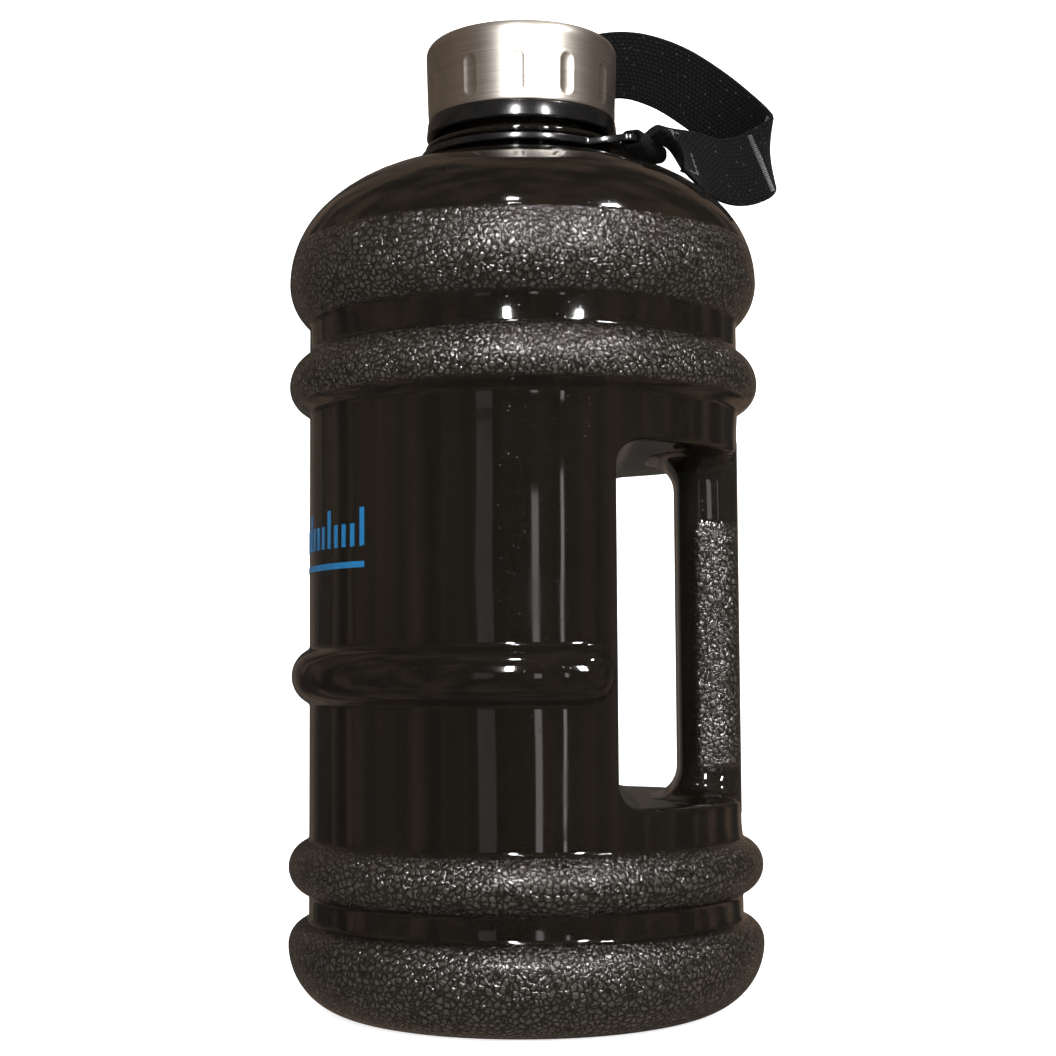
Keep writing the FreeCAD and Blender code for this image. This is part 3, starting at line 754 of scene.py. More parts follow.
    def notch_columns(self, inset: float) -> np.ndarray:
        """The notch's zone: for each row and column the distance from the axis and the height."""
        columns = []
        for angle in self.turns:
            flat = min(abs(angle), math.radians(179))
            reach = math.cos(flat)
            low = self.half_notch(flat if reach > 0 else math.pi / 2, inset)
            lower = low + [0, self.notch_low]
            upper = low * [1, -1] + [0, self.notch_high]
            columns.append(np.concatenate([lower, upper[::-1]]))
        return np.array(columns).transpose(1, 0, 2)

    def skin(self, inset: float) -> np.ndarray:
        """All rows of one skin of the body as points, from the base's middle to the neck."""
        lower = softened(self.lower_row(inset), 0.9)
        upper = softened(self.upper_row(inset), 0.9)
        middle = self.notch_columns(inset)
        rows = [np.tile(p, (len(self.turns), 1)) for p in lower[:-1]]
        rows += list(middle)
        rows += [np.tile(p, (len(self.turns), 1)) for p in upper[1:]]
        grid = np.array(rows)
        order = np.clip(grid[:, :, 1], self.zone[0], self.zone[1]) == grid[:, :, 1]
        rise = self.rib_rise(self.turns[None, :], grid[:, :, 1])
        outside = np.abs(self.turns)[None, :] > math.radians(self.rib_end - 12)
        grid[:, :, 0] += np.where(order & outside, rise, 0)
        x = grid[:, :, 0] * np.cos(self.turns)[None, :]
        y = grid[:, :, 0] * np.sin(self.turns)[None, :]
        return np.stack([x, y, grid[:, :, 1]], axis=2)

    def build_wall(self) -> bpy.types.Object:
        """The body's wall: outer skin, neck, rim and inner skin, closed."""
        outer, inner = self.skin(0.0), self.skin(self.wall)
        neck = softened(self.neck_row(), 0.18, 0.1, 8.0)
        count = len(self.turns)
        ring = np.array([[(r * math.cos(a), r * math.sin(a), z) for a in self.turns] for r, z in neck])
        points = np.concatenate([outer, ring, inner[::-1]]).reshape(-1, 3)
        rows = len(points) // count
        faces = grid_faces(rows, count, True)
        faces += [tuple(reversed(range(count))), tuple(range((rows - 1) * count, rows * count))]
        piece = mesh_object("jug_body", points, faces)
        inside = (len(outer) + len(neck)) * count
        for polygon in piece.data.polygons:
            polygon.material_index = int(min(polygon.vertices) >= inside)
        return piece

    def grip_section(self) -> tuple[np.ndarray, np.ndarray, np.ndarray]:
        """The grip's cross-section: its points, outward directions and share of flare."""
        half, r = self.grip_half, self.grip_round
        inner_x = self.grip_x + r
        tilt = math.asin((half - r) / (self.grip_r - r))
        pieces = [
            (inner_x, half - r, r, math.pi / 2, math.pi),
            (inner_x, -(half - r), r, math.pi, 1.5 * math.pi),
        ]
        outer_x = (self.grip_r - r) * math.cos(tilt)
        pieces.append((outer_x, -(half - r), r, 1.5 * math.pi, 2 * math.pi - tilt))
        pieces.append((0.0, 0.0, self.grip_r, -tilt, tilt))
        pieces.append((outer_x, half - r, r, tilt, math.pi / 2))
        points, normals = [], []
        for cx, cy, radius, start, end in pieces:
            for a in np.linspace(start, end, 11):
                points.append((cx + radius * math.cos(a), cy + radius * math.sin(a)))
                normals.append((math.cos(a), math.sin(a)))
        points, normals = np.array(points), np.array(normals)
        return points, normals, 1 - soft_step(points[:, 0], outer_x - 1, self.grip_r - 2)

    def build_grip(self) -> bpy.types.Object:
        """The upright grip, flared where it meets the notch's floor and ceiling."""
        points, normals, share = self.grip_section()
        f = self.grip_flare
        low = [f - f * math.cos(a) for a in np.radians(np.linspace(0, 90, 9))]
        heights = [-4.0, -1.0] + low
        swells = [f, f] + [f - f * math.sin(a) for a in np.radians(np.linspace(0, 90, 9))]
        rows = []
        for base, side in ((self.notch_low, 1), (self.notch_high, -1)):
            order = range(len(heights)) if side > 0 else reversed(range(len(heights)))
            for k in order:
                spot = points + normals * (swells[k] * share)[:, None]
                rows.append(np.column_stack([spot, np.full(len(spot), base + side * heights[k])]))
            if side > 0:
                for z in np.linspace(self.notch_low + f, self.notch_high - f, 14)[1:-1]:
                    rows.append(np.column_stack([points, np.full(len(points), z)]))
        faces = grid_faces(len(rows), len(points), True)
        n = len(points)
        faces += [tuple(reversed(range(n))), tuple(range((len(rows) - 1) * n, len(rows) * n))]
        return mesh_object("jug_grip", np.concatenate(rows), faces)

    def build_thread(self) -> bpy.types.Object:
        """The thread on the neck, as one ridge that fades out at both ends."""
        return thread_ridge(
            "neck_thread", self.finish_r, self.thread_depth, self.thread_start, self.thread_turns, self.pitch
        )

    def build(self) -> list[bpy.types.Object]:
        """Builds and dresses the body's pieces."""
        bands = [(-2.0, self.base_edge - 0.5), (31.9, 46.0), (165.2, 178.6), (187.4, 207.5)]
        skin = SmokyPlastic("smoky_body", tuple(bands)).build()
        inside = SmokyPlastic("smoky_inside", cover=0.30, gloss=0.12).build()
        grip = SmokyPlastic("smoky_grip", patch=(66.0, 131.0, 46.5), cover=0.96).build()
        wall = dress(self.build_wall(), "bottle", "body", skin, inside)
        bar = dress(self.build_grip(), "bottle", "body", grip)
        thread = dress(self.build_thread(), "bottle", "body", grip)
        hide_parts("bottle_body")
        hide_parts("bottle_body")
        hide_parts("bottle_body")
        return [wall, bar, thread]


def thread_ridge(name: str, root: float, depth: float, start: float, turns: float, pitch: float) -> bpy.types.Object:
    """A screw thread's ridge; a negative depth points it inwards.

    Args:
        name: the piece's name.
        root: radius of the wall that it stands on.
        depth: how far it stands off the wall.
        start: height of its first point.
        turns: how many turns it makes.
        pitch: its rise in one turn.

    Returns:
        The new object.
    """
    side = 1 if depth > 0 else -1
    count = int(turns * 72) + 1
    rows = []
    for i in range(count):
        t = i / (count - 1)
        fade = min(1.0, t * turns * 9, (1 - t) * turns * 9)
        a, z = 2 * math.pi * turns * t, start + pitch * turns * t
        tip = root + depth * fade
        outline = [(root - side * 0.3, -1.15), (tip - side * 0.15, -0.55), (tip, -0.35), (tip, 0.35), (tip - side * 0.15, 0.55), (root - side * 0.3, 1.15)]
        rows.append([(r * math.cos(a), r * math.sin(a), z + dz) for r, dz in outline])
    wide = 6
    faces = grid_faces(count, wide, True)
    faces += [tuple(range(wide)), tuple(reversed(range((count - 1) * wide, count * wide)))]
    return mesh_object(name, np.array(rows).reshape(-1, 3), faces)


# -------------------------------------------------------------------- the print


@dataclass
class PrintedBand:
    """The plain printed ticks and rule on the barrel. Millimetres and degrees."""

    radius: float = 59.45
    thick: float = 0.1
    middle: float = 127.0
    bars: int = 25
    step: float = 3.8
    bar_w: float = 1.7
    tall: float = 10.0
    short: float = 6.0
    rule_drop: float = 8.5
    rule_h: float = 1.6

    def patch(self, centre: float, wide: float, low: float, tall: float) -> tuple[list, list]:
        """One film of ink.

        Args:
            centre: the middle's angle from +X, in degrees.
            wide: how many degrees it covers.
            low: its lower edge.
            tall: its height.

        Returns:
            Its points and faces.
        """
        count = max(3, int(wide / 0.8) + 2)
        turns = np.radians(np.linspace(centre - wide / 2, centre + wide / 2, count))
        loop = [(self.radius, low), (self.radius + self.thick, low), (self.radius + self.thick, low + tall), (self.radius, low + tall)]
        points = [(r * math.cos(a), r * math.sin(a), z) for a in turns for r, z in loop]
        faces = grid_faces(count, 4, True)
        faces += [(0, 1, 2, 3), tuple(reversed(range((count - 1) * 4, count * 4)))]
        return points, faces

    def build(self) -> bpy.types.Object:
        """Builds and dresses the print."""
        points, faces = [], []
        places = []
        for i in range(self.bars):
            tall = self.tall if i % 4 == 0 else self.short
            places.append((180 + (i - (self.bars - 1) / 2) * self.step, self.bar_w, self.middle - self.short / 2, tall))
        span = (self.bars - 1) * self.step + self.bar_w
        places.append((180.0, span, self.middle - self.rule_drop, self.rule_h))
        for place in places:
            more, sides = self.patch(*place)
            faces += [tuple(v + len(points) for v in side) for side in sides]
            points += more
        piece = mesh_object("printed_ticks", np.array(points), faces, smooth=False)
        dress(piece, "bottle", "ink", PrintedInk().build())
        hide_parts("printed_band")
        return piece


# ---------------------------------------------------------------------- the cap


@dataclass
class ScrewCap:
    """The steel shell, the threaded plastic inside it and the gasket. Millimetres."""

    skirt_low: float = 240.7
    lip_r: float = 26.9
    shell_low: float = 245.7
    top: float = 268.1
    foot_r: float = 26.3
    head_r: float = 26.9
    corner: float = 3.6
    wall: float = 0.6
    dimples: int = 12
    dimple_low: float = 247.6
    dimple_high: float = 259.2
    dimple_half: float = 2.0
    dimple_depth: float = 0.42
    dimple_first: float = -92.0
    root_r: float = 24.9
    crest_depth: float = -1.4
    pitch: float = 4.0
    turns: float = 1.5
    thread_start: float = 248.0
    roof_low: float = 263.05
    roof_top: float = 265.65
    gasket: tuple[float, float, float, float] = (20.4, 24.7, 260.65, 263.05)
    columns: int = 432

    def dent(self, angle: float, z: float) -> float:
        """How deep the pressed dimples are at an angle and a height."""
        step = 360 / self.dimples
        off = (math.degrees(angle) - self.dimple_first + step / 2) % step - step / 2
        across = math.radians(off) * self.head_r
        low, high = self.dimple_low + self.dimple_half, self.dimple_high - self.dimple_half
        up = z - min(max(z, low), high)
        away = math.hypot(across, up) / self.dimple_half
        if away >= 1.35:
            return 0.0
        rim = -0.10 * math.exp(-(((away - 1.08) / 0.14) ** 2))
        bowl = (1 - away**2) if away < 1 else 0.0
        return self.dimple_depth * bowl + self.dimple_depth * rim

    def build_shell(self) -> bpy.types.Object:
        """The steel shell with its pressed dimples, rolled lower edge and inside."""
        bend = self.top - self.corner
        outside: Row = [(self.foot_r - 0.15, self.shell_low), (self.foot_r, self.shell_low + 0.2)]
        for z in np.linspace(self.shell_low + 0.8, bend - 1.0, 46):
            share = (z - self.shell_low) / (bend - self.shell_low)
            outside.append((self.foot_r + (self.head_r - self.foot_r) * share, z))
        outside += arc_row(self.head_r - self.corner, bend, self.corner, 0, 90, 6)
        outside += [(r, self.top) for r in (20.0, 14.0, 7.0, 0.4)]
        w = self.wall
        inside: Row = [(0.4, self.top - w), (self.head_r - self.corner, self.top - w)]
        inside += arc_row(self.head_r - self.corner, bend, self.corner - w, 90, 0, 12)[1:]
        inside += [(self.foot_r - w, self.shell_low + 0.2), (self.foot_r - w + 0.15, self.shell_low)]
        row = outside + inside
        turns = np.radians(np.linspace(0, 360, self.columns, endpoint=False))
        points = []
        for k, (r, z) in enumerate(row):
            for a in turns:
                deep = self.dent(a, z) if 1 < k < len(outside) - 10 else 0.0
                points.append(((r - deep) * math.cos(a), (r - deep) * math.sin(a), z))
        count = self.columns
        faces = grid_faces(len(row), count, True)
        last = (len(row) - 1) * count
        faces += [(last + c, last + (c + 1) % count, (c + 1) % count, c) for c in range(count)]
        return mesh_object("cap_shell", np.array(points), faces)

    def build_liner(self) -> bpy.types.Object:
        """The threaded plastic: skirt lip below the steel, wall and roof."""
        skirt = self.foot_r - self.wall - 0.1
        row: Row = [(0.3, self.roof_low), (self.root_r, self.roof_low), (self.root_r, self.skirt_low + 0.8)]
        row += [(self.root_r + 0.5, self.skirt_low), (self.lip_r - 0.8, self.skirt_low)]
        row += arc_row(self.lip_r - 0.7, self.skirt_low + 0.7, 0.7, -90, 0, 15)
        row += [(self.lip_r - 0.1, self.skirt_low + 2.4), (self.lip_r - 0.4, self.shell_low - 0.5)]
        row += [(self.lip_r - 0.7, self.shell_low - 0.12), (skirt, self.shell_low - 0.12)]
        row += [(skirt, self.roof_top - 2.0), (skirt - 2.0, self.roof_top), (0.3, self.roof_top)]
        turns = np.radians(np.linspace(0, 360, 180, endpoint=False))
        points, faces = lathe(softened(row, 0.12, 0.06, 10.0), turns)
        count = len(turns)
        last = len(points) - count
        faces += [(last + c, last + (c + 1) % count, (c + 1) % count, c) for c in range(count)]
        return mesh_object("cap_inner", points, faces)

    def build_gasket(self) -> bpy.types.Object:
        """The silicone gasket, a flat ring with rounded edges and one raised bead."""
        inner, outer, low, high = self.gasket
        middle = (inner + outer) / 2
        row: Row = [(inner, low + 0.3), (inner + 0.3, low), (middle - 0.5, low)]
        row += [(middle, low + 0.25), (middle + 0.5, low), (outer - 0.3, low), (outer, low + 0.3)]
        row += [(outer, high - 0.3), (outer - 0.3, high), (inner + 0.3, high), (inner, high - 0.3)]
        row.append(row[0])
        points, faces = lathe(row, np.radians(np.linspace(0, 360, 128, endpoint=False)))
        piece = mesh_object("gasket_ring", points, faces)
        return piece

    def build(self) -> list[bpy.types.Object]:
        """Builds and dresses the cap's pieces."""
        shell = dress(self.build_shell(), "cap", "steel", BrushedSteel().build())
        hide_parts("cap_steel_shell")
        black = MouldedPlastic("cap_black", (0.003, 0.003, 0.0032, 1), (0.008, 0.008, 0.008, 1), 0.12, 0.1).build()
        liner = dress(self.build_liner(), "cap", "liner", black)
        ridge = thread_ridge("cap_thread", self.root_r, self.crest_depth, self.thread_start, self.turns, self.pitch)
        dress(ridge, "cap", "liner", black)
        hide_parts("cap_liner")
        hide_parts("cap_liner")
        silicone = MouldedPlastic("silicone", (0.55, 0.54, 0.5, 1), (0.6, 0.58, 0.54, 1), 0.45, 0.1).build()
        seal = dress(self.build_gasket(), "cap_seal", "gasket", silicone)
        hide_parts("cap_gasket")
        return [shell, liner, ridge, seal]


# ------------------------------------------------------- the carry ring and strap


@dataclass
class CarryRing:
    """The loose ring on the neck with its two slotted lugs. Millimetres."""

    inner_r: float = 26.1
    outer_r: float = 28.5
    low: float = 234.1
    thick: float = 1.9
    angles: tuple[float, float] = (-24.0, 96.0)
    reach: float = 38.5
    half_w: float = 12.4
    corner: float = 3.0
    slot_r: float = 31.8
    slot_w: float = 3.4
    slot_half: float = 10.6

    def outline(self) -> bpy.types.Object:
        """The ring's flat plan as a filled curve, given its thickness and rounded edges."""
        curve = bpy.data.curves.new("carry_ring", "CURVE")
        curve.dimensions = "2D"
        curve.fill_mode = "BOTH"
        loops = [self.outer_loop(), [(self.inner_r * math.cos(a), self.inner_r * math.sin(a)) for a in np.linspace(0, 2 * math.pi, 120, endpoint=False)]]
        loops += [self.slot_loop(math.radians(angle)) for angle in self.angles]
        for loop in loops:
            spline = curve.splines.new("POLY")
            spline.points.add(len(loop) - 1)
            for point, (x, y) in zip(spline.points, loop):
                point.co = (x * MM, y * MM, 0, 1)
            spline.use_cyclic_u = True
        bevel = 0.35
        curve.extrude = (self.thick / 2 - bevel) * MM
        curve.bevel_depth = bevel * MM
        curve.bevel_resolution = 3
        curve.offset = -bevel * MM
        shape = bpy.data.objects.new("ring_plan", curve)
        bpy.context.scene.collection.objects.link(shape)
        mesh = bpy.data.meshes.new_from_object(shape.evaluated_get(bpy.context.evaluated_depsgraph_get()))
        bpy.data.objects.remove(shape)
        piece = bpy.data.objects.new("carry_ring", mesh)
        bpy.context.scene.collection.objects.link(piece)
        mesh.polygons.foreach_set("use_smooth", [True] * len(mesh.polygons))
        for vertex in mesh.vertices:
            vertex.co.z += (self.low + self.thick / 2) * MM
        return piece

    def outer_loop(self) -> Row:
        """The outside of the plan: the round ring with a rounded lug on each side."""
        meet = math.asin(self.half_w / self.outer_r) if self.half_w < self.outer_r else 0.0
        loop: Row = []
        starts = [math.radians(angle) for angle in self.angles]
        for start, after in zip(starts, starts[1:] + [starts[0] + 2 * math.pi]):
            lug = arc_row(self.reach - self.corner, -self.half_w + self.corner, self.corner, -90, 0, 15)
            lug += arc_row(self.reach - self.corner, self.half_w - self.corner, self.corner, 0, 90, 15)
            loop += self.turned(lug, start)
            around = np.linspace(start + meet, after - meet, 40)
            loop += [(self.outer_r * math.cos(a), self.outer_r * math.sin(a)) for a in around]
        return loop

    @staticmethod
    def turned(loop: Row, turn: float) -> Row:
        """A loop turned about the axis by an angle in radians."""
        cos, sin = math.cos(turn), math.sin(turn)
        return [(x * cos - y * sin, x * sin + y * cos) for x, y in loop]

    def slot_loop(self, turn: float) -> Row:
        """The webbing slot of the lug at an angle, with rounded ends."""
        r, half = 0.8, self.slot_half
        corners = [
            (self.slot_r + self.slot_w - r, half - r, 0), (self.slot_r + r, half - r, 90),
            (self.slot_r + r, -half + r, 180), (self.slot_r + self.slot_w - r, -half + r, 270),
        ]
        loop: Row = []
        for x, y, start in corners:
            loop += arc_row(x, y, r, start, start + 90, 30)
        return self.turned(loop, turn)

    def build(self) -> bpy.types.Object:
        """Builds and dresses the ring."""
        piece = self.outline()
        dress(piece, "carry_ring", "ring", MouldedPlastic("ring_black", (0.004, 0.004, 0.0045, 1), (0.010, 0.010, 0.010, 1), 0.12, 0.06).build())
        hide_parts("neck_ring")
        return piece


ROUTE = [
    ((-3.85, 36.65, 236.95), (-0.99, -0.10, 0.0)),
    ((-4.4, 42.0, 239.6), (-0.98, -0.12, -0.04)),
    ((-5.6, 43.4, 247.0), (-0.95, -0.08, 0.12)),
    ((-5.0, 41.6, 256.0), (-0.80, -0.15, 0.50)),
    ((4.0, 39.5, 265.0), (-0.57, -0.20, 0.78)),
    ((16.0, 37.5, 272.0), (-0.20, -0.20, 0.95)),
    ((30.0, 34.5, 274.7), (0.21, -0.15, 0.97)),
    ((43.6, 31.5, 269.7), (0.42, -0.25, 0.87)),
    ((54.4, 28.0, 261.2), (0.38, -0.30, 0.87)),
    ((63.1, 24.5, 252.8), (0.26, -0.37, 0.89)),
    ((69.4, 19.5, 245.3), (0.08, -0.27, 0.96)),
    ((72.1, 13.5, 240.8), (-0.07, -0.06, 1.00)),
    ((69.1, 8.0, 236.5), (-0.02, 0.00, 1.00)),
    ((63.3, 4.5, 233.0), (0.02, 0.06, 1.00)),
    ((56.9, 0.5, 231.8), (0.00, 0.20, 0.98)),
    ((49.8, -3.0, 234.4), (0.05, 0.42, 0.90)),
    ((43.6, -7.6, 235.6), (0.14, 0.76, 0.62)),
    ((38.5, -13.0, 237.2), (0.39, 0.92, 0.08)),
    ((33.65, -15.0, 236.95), (0.41, 0.91, 0.0)),
]


def smooth_line(points: Sequence[Sequence[float]]) -> np.ndarray:
    """The smooth line that a route's points control, in millimetres.

    Args:
        points: the route's points, in millimetres.

    Returns:
        Points along the line.
    """
    curve = bpy.data.curves.new("route", "CURVE")
    curve.dimensions = "3D"
    curve.resolution_u = 12
    spline = curve.splines.new("NURBS")
    spline.points.add(len(points) - 1)
    for place, point in zip(spline.points, points):
        place.co = (*(c * MM for c in point), 1)
    spline.order_u = 3
    spline.use_endpoint_u = True
    bare = bpy.data.objects.new("route", curve)
    mesh = bpy.data.meshes.new_from_object(bare)
    line = np.array([v.co for v in mesh.vertices]) / MM
    bpy.data.meshes.remove(mesh)
    bpy.data.objects.remove(bare)
    return line


class Tack(Enum):
    """Kinds of sewing on the webbing."""

    BAR = "close zigzag across the webbing"
    BOX = "running stitch round a box"


@dataclass
class CarryStrap:
    """The webbing strap with its sewn eyes and its stitching. Millimetres."""

    ring: CarryRing
    width: float = 20.0
    thick: float = 1.3
    clear: float = 0.3
    columns: int = 33

    def lines(self) -> tuple[np.ndarray, np.ndarray, np.ndarray]:
        """The webbing's middle line, its width direction and its face direction."""
        centre = smooth_line([c for c, _ in ROUTE])
        edge = smooth_line([np.array(c) + np.array(w) / np.linalg.norm(w) * self.width / 2 for c, w in ROUTE])
        along = np.gradient(centre, axis=0)
        along /= np.linalg.norm(along, axis=1)[:, None]
        across = edge - centre
        across -= along * (across * along).sum(1)[:, None]
        across /= np.linalg.norm(across, axis=1)[:, None]
        return centre, across, np.cross(across, along)

    def section(self) -> np.ndarray:
        """The webbing's section: flat faces, full rounded selvedges. Pairs of width and face."""
        half, t = self.width / 2, self.thick / 2
        top = [(x, t * (1 - 0.12 * (abs(x) / half) ** 4)) for x in np.linspace(-half + t, half - t, self.columns)]
        right = [(half - t + t * math.cos(a), t * math.sin(a) * 0.88) for a in np.radians(np.linspace(70, -70, 6))]
        bottom = [(x, -y) for x, y in reversed(top)]
        left = [(-x, -y) for x, y in right]
        return np.array(top + right + bottom + left)

    def sweep(self, name: str, centre: np.ndarray, across: np.ndarray, face: np.ndarray, closed: bool) -> bpy.types.Object:
        """The webbing's section carried along a line, with a map of its weave.

        Args:
            name: the piece's name.
            centre: points along the middle of the webbing.
            across: the width direction at each point.
            face: the face direction at each point.
            closed: whether the line joins up with itself.

        Returns:
            The new object.
        """
        section = self.section()
        n = len(section)
        rows = centre[:, None, :] + across[:, None, :] * section[None, :, :1] + face[:, None, :] * section[None, :, 1:]
        along = np.concatenate([[0], np.cumsum(np.linalg.norm(np.diff(centre, axis=0), axis=1))])
        count = len(centre)
        faces = grid_faces(count, n, True)
        if closed:
            last = (count - 1) * n
            faces += [(last + k, last + (k + 1) % n, (k + 1) % n, k) for k in range(n)]
        else:
            faces += [tuple(reversed(range(n))), tuple(range((count - 1) * n, count * n))]
        piece = mesh_object(name, rows.reshape(-1, 3), faces)
        uv = piece.data.uv_layers.new(name="web")
        for loop in piece.data.loops:
            row, k = divmod(loop.vertex_index, n)
            uv.data[loop.index].uv = (section[k, 0] / self.width + 0.5, along[row] * MM)
        return piece

    def build_webbing(self) -> tuple[bpy.types.Object, np.ndarray]:
        """The strap's free length, a little thinner towards its selvedges."""
        centre, across, face = self.lines()
        return self.sweep("strap_webbing", centre, across, face, False), centre

    def build_eye(self, name: str, degrees: float) -> bpy.types.Object:
        """The sewn eye round the bar of the lug at an angle."""
        r = self.ring
        x1 = r.slot_r + r.slot_w - self.clear - self.thick / 2
        x2 = r.reach + self.clear + self.thick / 2
        z1 = r.low - self.clear - self.thick / 2
        z2 = r.low + r.thick + self.clear + self.thick / 2
        bend = 0.8 + self.thick / 2
        row = arc_row(x2 - bend, z1 + bend, bend, -90, 0, 18) + arc_row(x2 - bend, z2 - bend, bend, 0, 90, 18)
        row += arc_row(x1 + bend, z2 - bend, bend, 90, 180, 18) + arc_row(x1 + bend, z1 + bend, bend, 180, 270, 18)
        turn = math.radians(degrees)
        out = np.array([math.cos(turn), math.sin(turn), 0])
        up = np.array([0, 0, 1.0])
        wide = np.cross(up, out)
        centre = np.array([out * x + up * z for x, z in row])
        along = np.roll(centre, -1, axis=0) - np.roll(centre, 1, axis=0)
        along /= np.linalg.norm(along, axis=1)[:, None]
        across = np.tile(wide, (len(centre), 1))
        return self.sweep(name, centre, across, np.cross(across, along), True)

    def stitches(self, places: Sequence[tuple[Tack, float, float, float]]) -> bpy.types.Object:
        """The sewing, as short round threads lying on both faces of the webbing.

        Args:
            places: for each tack its kind, its place along the webbing from 0 to 1, and its width and length.

        Returns:
            One object that holds every stitch.
        """
        centre, across, face = self.lines()
        along = np.gradient(centre, axis=0)
        along /= np.linalg.norm(along, axis=1)[:, None]
        points, faces = [], []

        def stitch(index: int, u1: float, v1: float, u2: float, v2: float, side: int) -> None:
            """Adds one thread between two spots near a point of the webbing."""
            lift = face[index] * side * (self.thick / 2 + 0.02)
            a = centre[index] + across[index] * u1 + along[index] * v1 + lift
            b = centre[index] + across[index] * u2 + along[index] * v2 + lift
            run = b - a
            length = np.linalg.norm(run)
            run /= length
            sideways = np.cross(run, face[index])
            rings = []
            for t in np.linspace(0, 1, 5):
                rise = math.sin(math.pi * t) * 0.16 - 0.12
                spot = a + run * length * t + face[index] * side * rise
                rings.append([spot + (sideways * math.cos(q) + face[index] * math.sin(q)) * 0.2 for q in np.radians(np.arange(0, 360, 60))])
            start = len(points)
            points.extend(np.array(rings).reshape(-1, 3).tolist())
            faces.extend(grid_faces(5, 6, True, start))
            faces.append(tuple(start + k for k in reversed(range(6))))
            faces.append(tuple(start + 24 + k for k in range(6)))

        for kind, share, wide, long in places:
            index = int(share * (len(centre) - 1))
            for side in (1, -1):
                if kind is Tack.BAR:
                    count = int(wide / 0.55)
                    for k in range(count):
                        u = -wide / 2 + k * wide / (count - 1)
                        stitch(index, u, -long / 2, u + 0.25, long / 2, side)
                else:
                    step = 2.2
                    for edge in (-1, 1):
                        for v in np.arange(-long / 2, long / 2 - 0.1, step):
                            stitch(index, edge * wide / 2, v, edge * wide / 2, v + 1.6, side)
                        for u in np.arange(-wide / 2, wide / 2 - 0.1, step):
                            stitch(index, u, edge * long / 2, u + 1.6, edge * long / 2, side)
        return mesh_object("strap_sewing", np.array(points), faces)

    def build(self) -> list[bpy.types.Object]:
        fabric = Webbing().build()
        thread = MouldedPlastic("sewing_thread", (0.02, 0.02, 0.02, 1), (0.05, 0.05, 0.05, 1), 0.5, 0.3, 0.3).build()
        web, line = self.build_webbing()
        dress(web, "carry_ring", "webbing", fabric)
        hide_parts("carry_strap")
        eyes = []
        for name, degrees in zip(("strap_eye_front", "strap_eye_back"), self.ring.angles):
            eye = dress(self.build_eye(name, degrees), "carry_ring", "webbing", fabric)
            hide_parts("carry_strap")
            eyes.append(eye)
        tacks = [(Tack.BAR, 0.575, 17.0, 2.0), (Tack.BAR, 0.685, 17.0, 2.0), (Tack.BOX, 0.90, 15.0, 5.0), (Tack.BAR, 0.13, 15.0, 2.0)]
        sewing = dress(self.stitches(tacks), "carry_ring", "thread", thread)
        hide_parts("strap_stitching")
        return [web, *eyes, sewing]


# --------------------------------------------------------------------- the studio


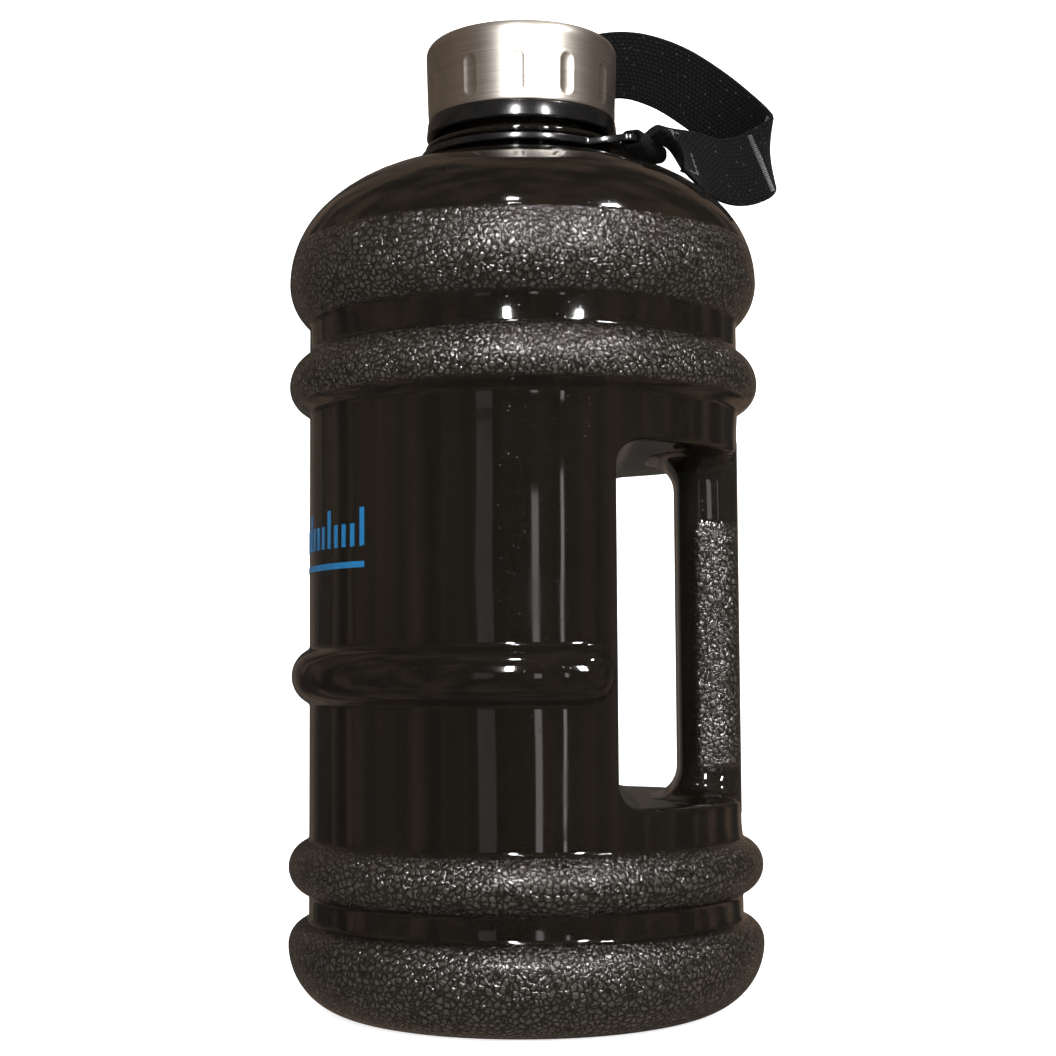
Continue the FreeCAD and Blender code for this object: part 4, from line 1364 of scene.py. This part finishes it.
@dataclass
class Studio:
    """The camera, the soft lights, the pale floor and the backdrop. Metres and degrees."""

    camera_at: tuple[float, float, float] = (0.00085, -0.5399, 0.0924)
    pitch: float = 4.127
    roll: float = 0.347
    lens: float = 66.18

    def camera(self) -> None:
        """Sets the camera low in front of the jug, looking slightly up."""
        data = bpy.data.cameras.new("camera")
        data.lens = self.lens
        data.sensor_width = 36.0
        data.clip_start, data.clip_end = 0.02, 50.0
        camera = bpy.data.objects.new("camera", data)
        camera.location = self.camera_at
        camera.rotation_mode = "XYZ"
        camera.rotation_euler = (math.radians(90 + self.pitch), math.radians(self.roll), 0)
        bpy.context.scene.collection.objects.link(camera)
        bpy.context.scene.camera = camera

    def light(self, name: str, place: Sequence[float], aim: Sequence[float], size: tuple[float, float], power: float) -> None:
        """Adds a soft box.

        Args:
            name: the light's name.
            place: where it stands.
            aim: the point that it faces.
            size: its width and height.
            power: its power in watts.
        """
        data = bpy.data.lights.new(name, "AREA")
        data.shape, data.size, data.size_y, data.energy = "RECTANGLE", size[0], size[1], power
        lamp = bpy.data.objects.new(name, data)
        lamp.location = place
        lamp.rotation_euler = (Vector(aim) - Vector(place)).to_track_quat("-Z", "Y").to_euler()
        bpy.context.scene.collection.objects.link(lamp)

    def room(self, world: bpy.types.World) -> None:
        """Fills the world with a dim warm room: darker in front, with broad upright patches."""
        world.node_tree.nodes.clear()
        g = Graph(world.node_tree)
        way = g.add("TexCoord").outputs["Generated"]
        front = g.add("SeparateXYZ", {0: way}).outputs["Y"]
        side = g.ramp(front, -1.0, -0.55, 0.35, 1.0)
        shelves = g.add("Mapping", {"Vector": way, "Scale": (4.5, 4.5, 1.0)})
        patches = g.add("TexNoise", {"Vector": shelves.outputs[0], "Scale": 1.0, "Detail": 3.0}).outputs["Fac"]
        level = g.maths("MULTIPLY", side, g.ramp(patches, 0.38, 0.66, 0.35, 1.7))
        tone = g.blend(g.ramp(patches, 0.4, 0.6), (0.125, 0.113, 0.10, 1), (0.15, 0.105, 0.075, 1))
        ground = g.add("Background", {"Color": tone, "Strength": level})
        g.add("OutputWorld", {"Surface": ground.outputs[0]})

    def set_up(self) -> None:
        """Builds the floor, backdrop, world and lights."""
        paper = StudioPaper().build()
        near, far, wide, bend = -3.0, 1.6, 4.0, 0.8
        row = [(near, 0.0)] + [(far - bend + bend * math.sin(a), bend - bend * math.cos(a)) for a in np.radians(np.linspace(0, 90, 16))] + [(far, 3.5)]
        points = [(x / MM, y / MM, z / MM) for y, z in row for x in (-wide, wide)]
        sweep = mesh_object("studio_sweep", np.array(points), grid_faces(len(row), 2, False))
        sweep.data.materials.append(paper)
        sweep.visible_glossy = False
        world = bpy.data.worlds.new("studio")
        world.use_nodes = True
        self.room(world)
        bpy.context.scene.world = world
        middle = (0.0, 0.0, 0.14)
        self.light("key_near", (-0.19, -1.45, 0.72), middle, (0.09, 0.46), 28.0)
        self.light("key_right", (0.70, -1.28, 0.72), middle, (0.09, 0.42), 22.0)
        self.light("high_near", (-0.10, -0.85, 1.45), middle, (0.10, 0.05), 5.0)
        self.light("high_right", (0.75, -0.55, 1.2), middle, (0.16, 0.07), 9.0)
        self.light("card_left", (-0.50, -1.4, 0.10), middle, (0.22, 0.50), 0.12)
        self.light("card_middle", (0.16, -1.5, 0.06), middle, (0.09, 0.42), 0.24)
        self.light("card_right", (0.50, -1.4, 0.12), middle, (0.04, 0.36), 0.14)
        bpy.context.scene.view_settings.view_transform = "Standard"


def main() -> None:
    """Builds the jug's parts and the studio, and reports each piece."""
    logging.basicConfig(level=logging.INFO, format="%(name)s %(message)s")
    studio = Studio()
    studio.camera()
    ring = CarryRing()
    CarryStrap(ring).build()
    ring.build()
    JugBody().build()
    PrintedBand().build()
    ScrewCap().build()
    studio.set_up()


if __name__ == "__main__":
    main()
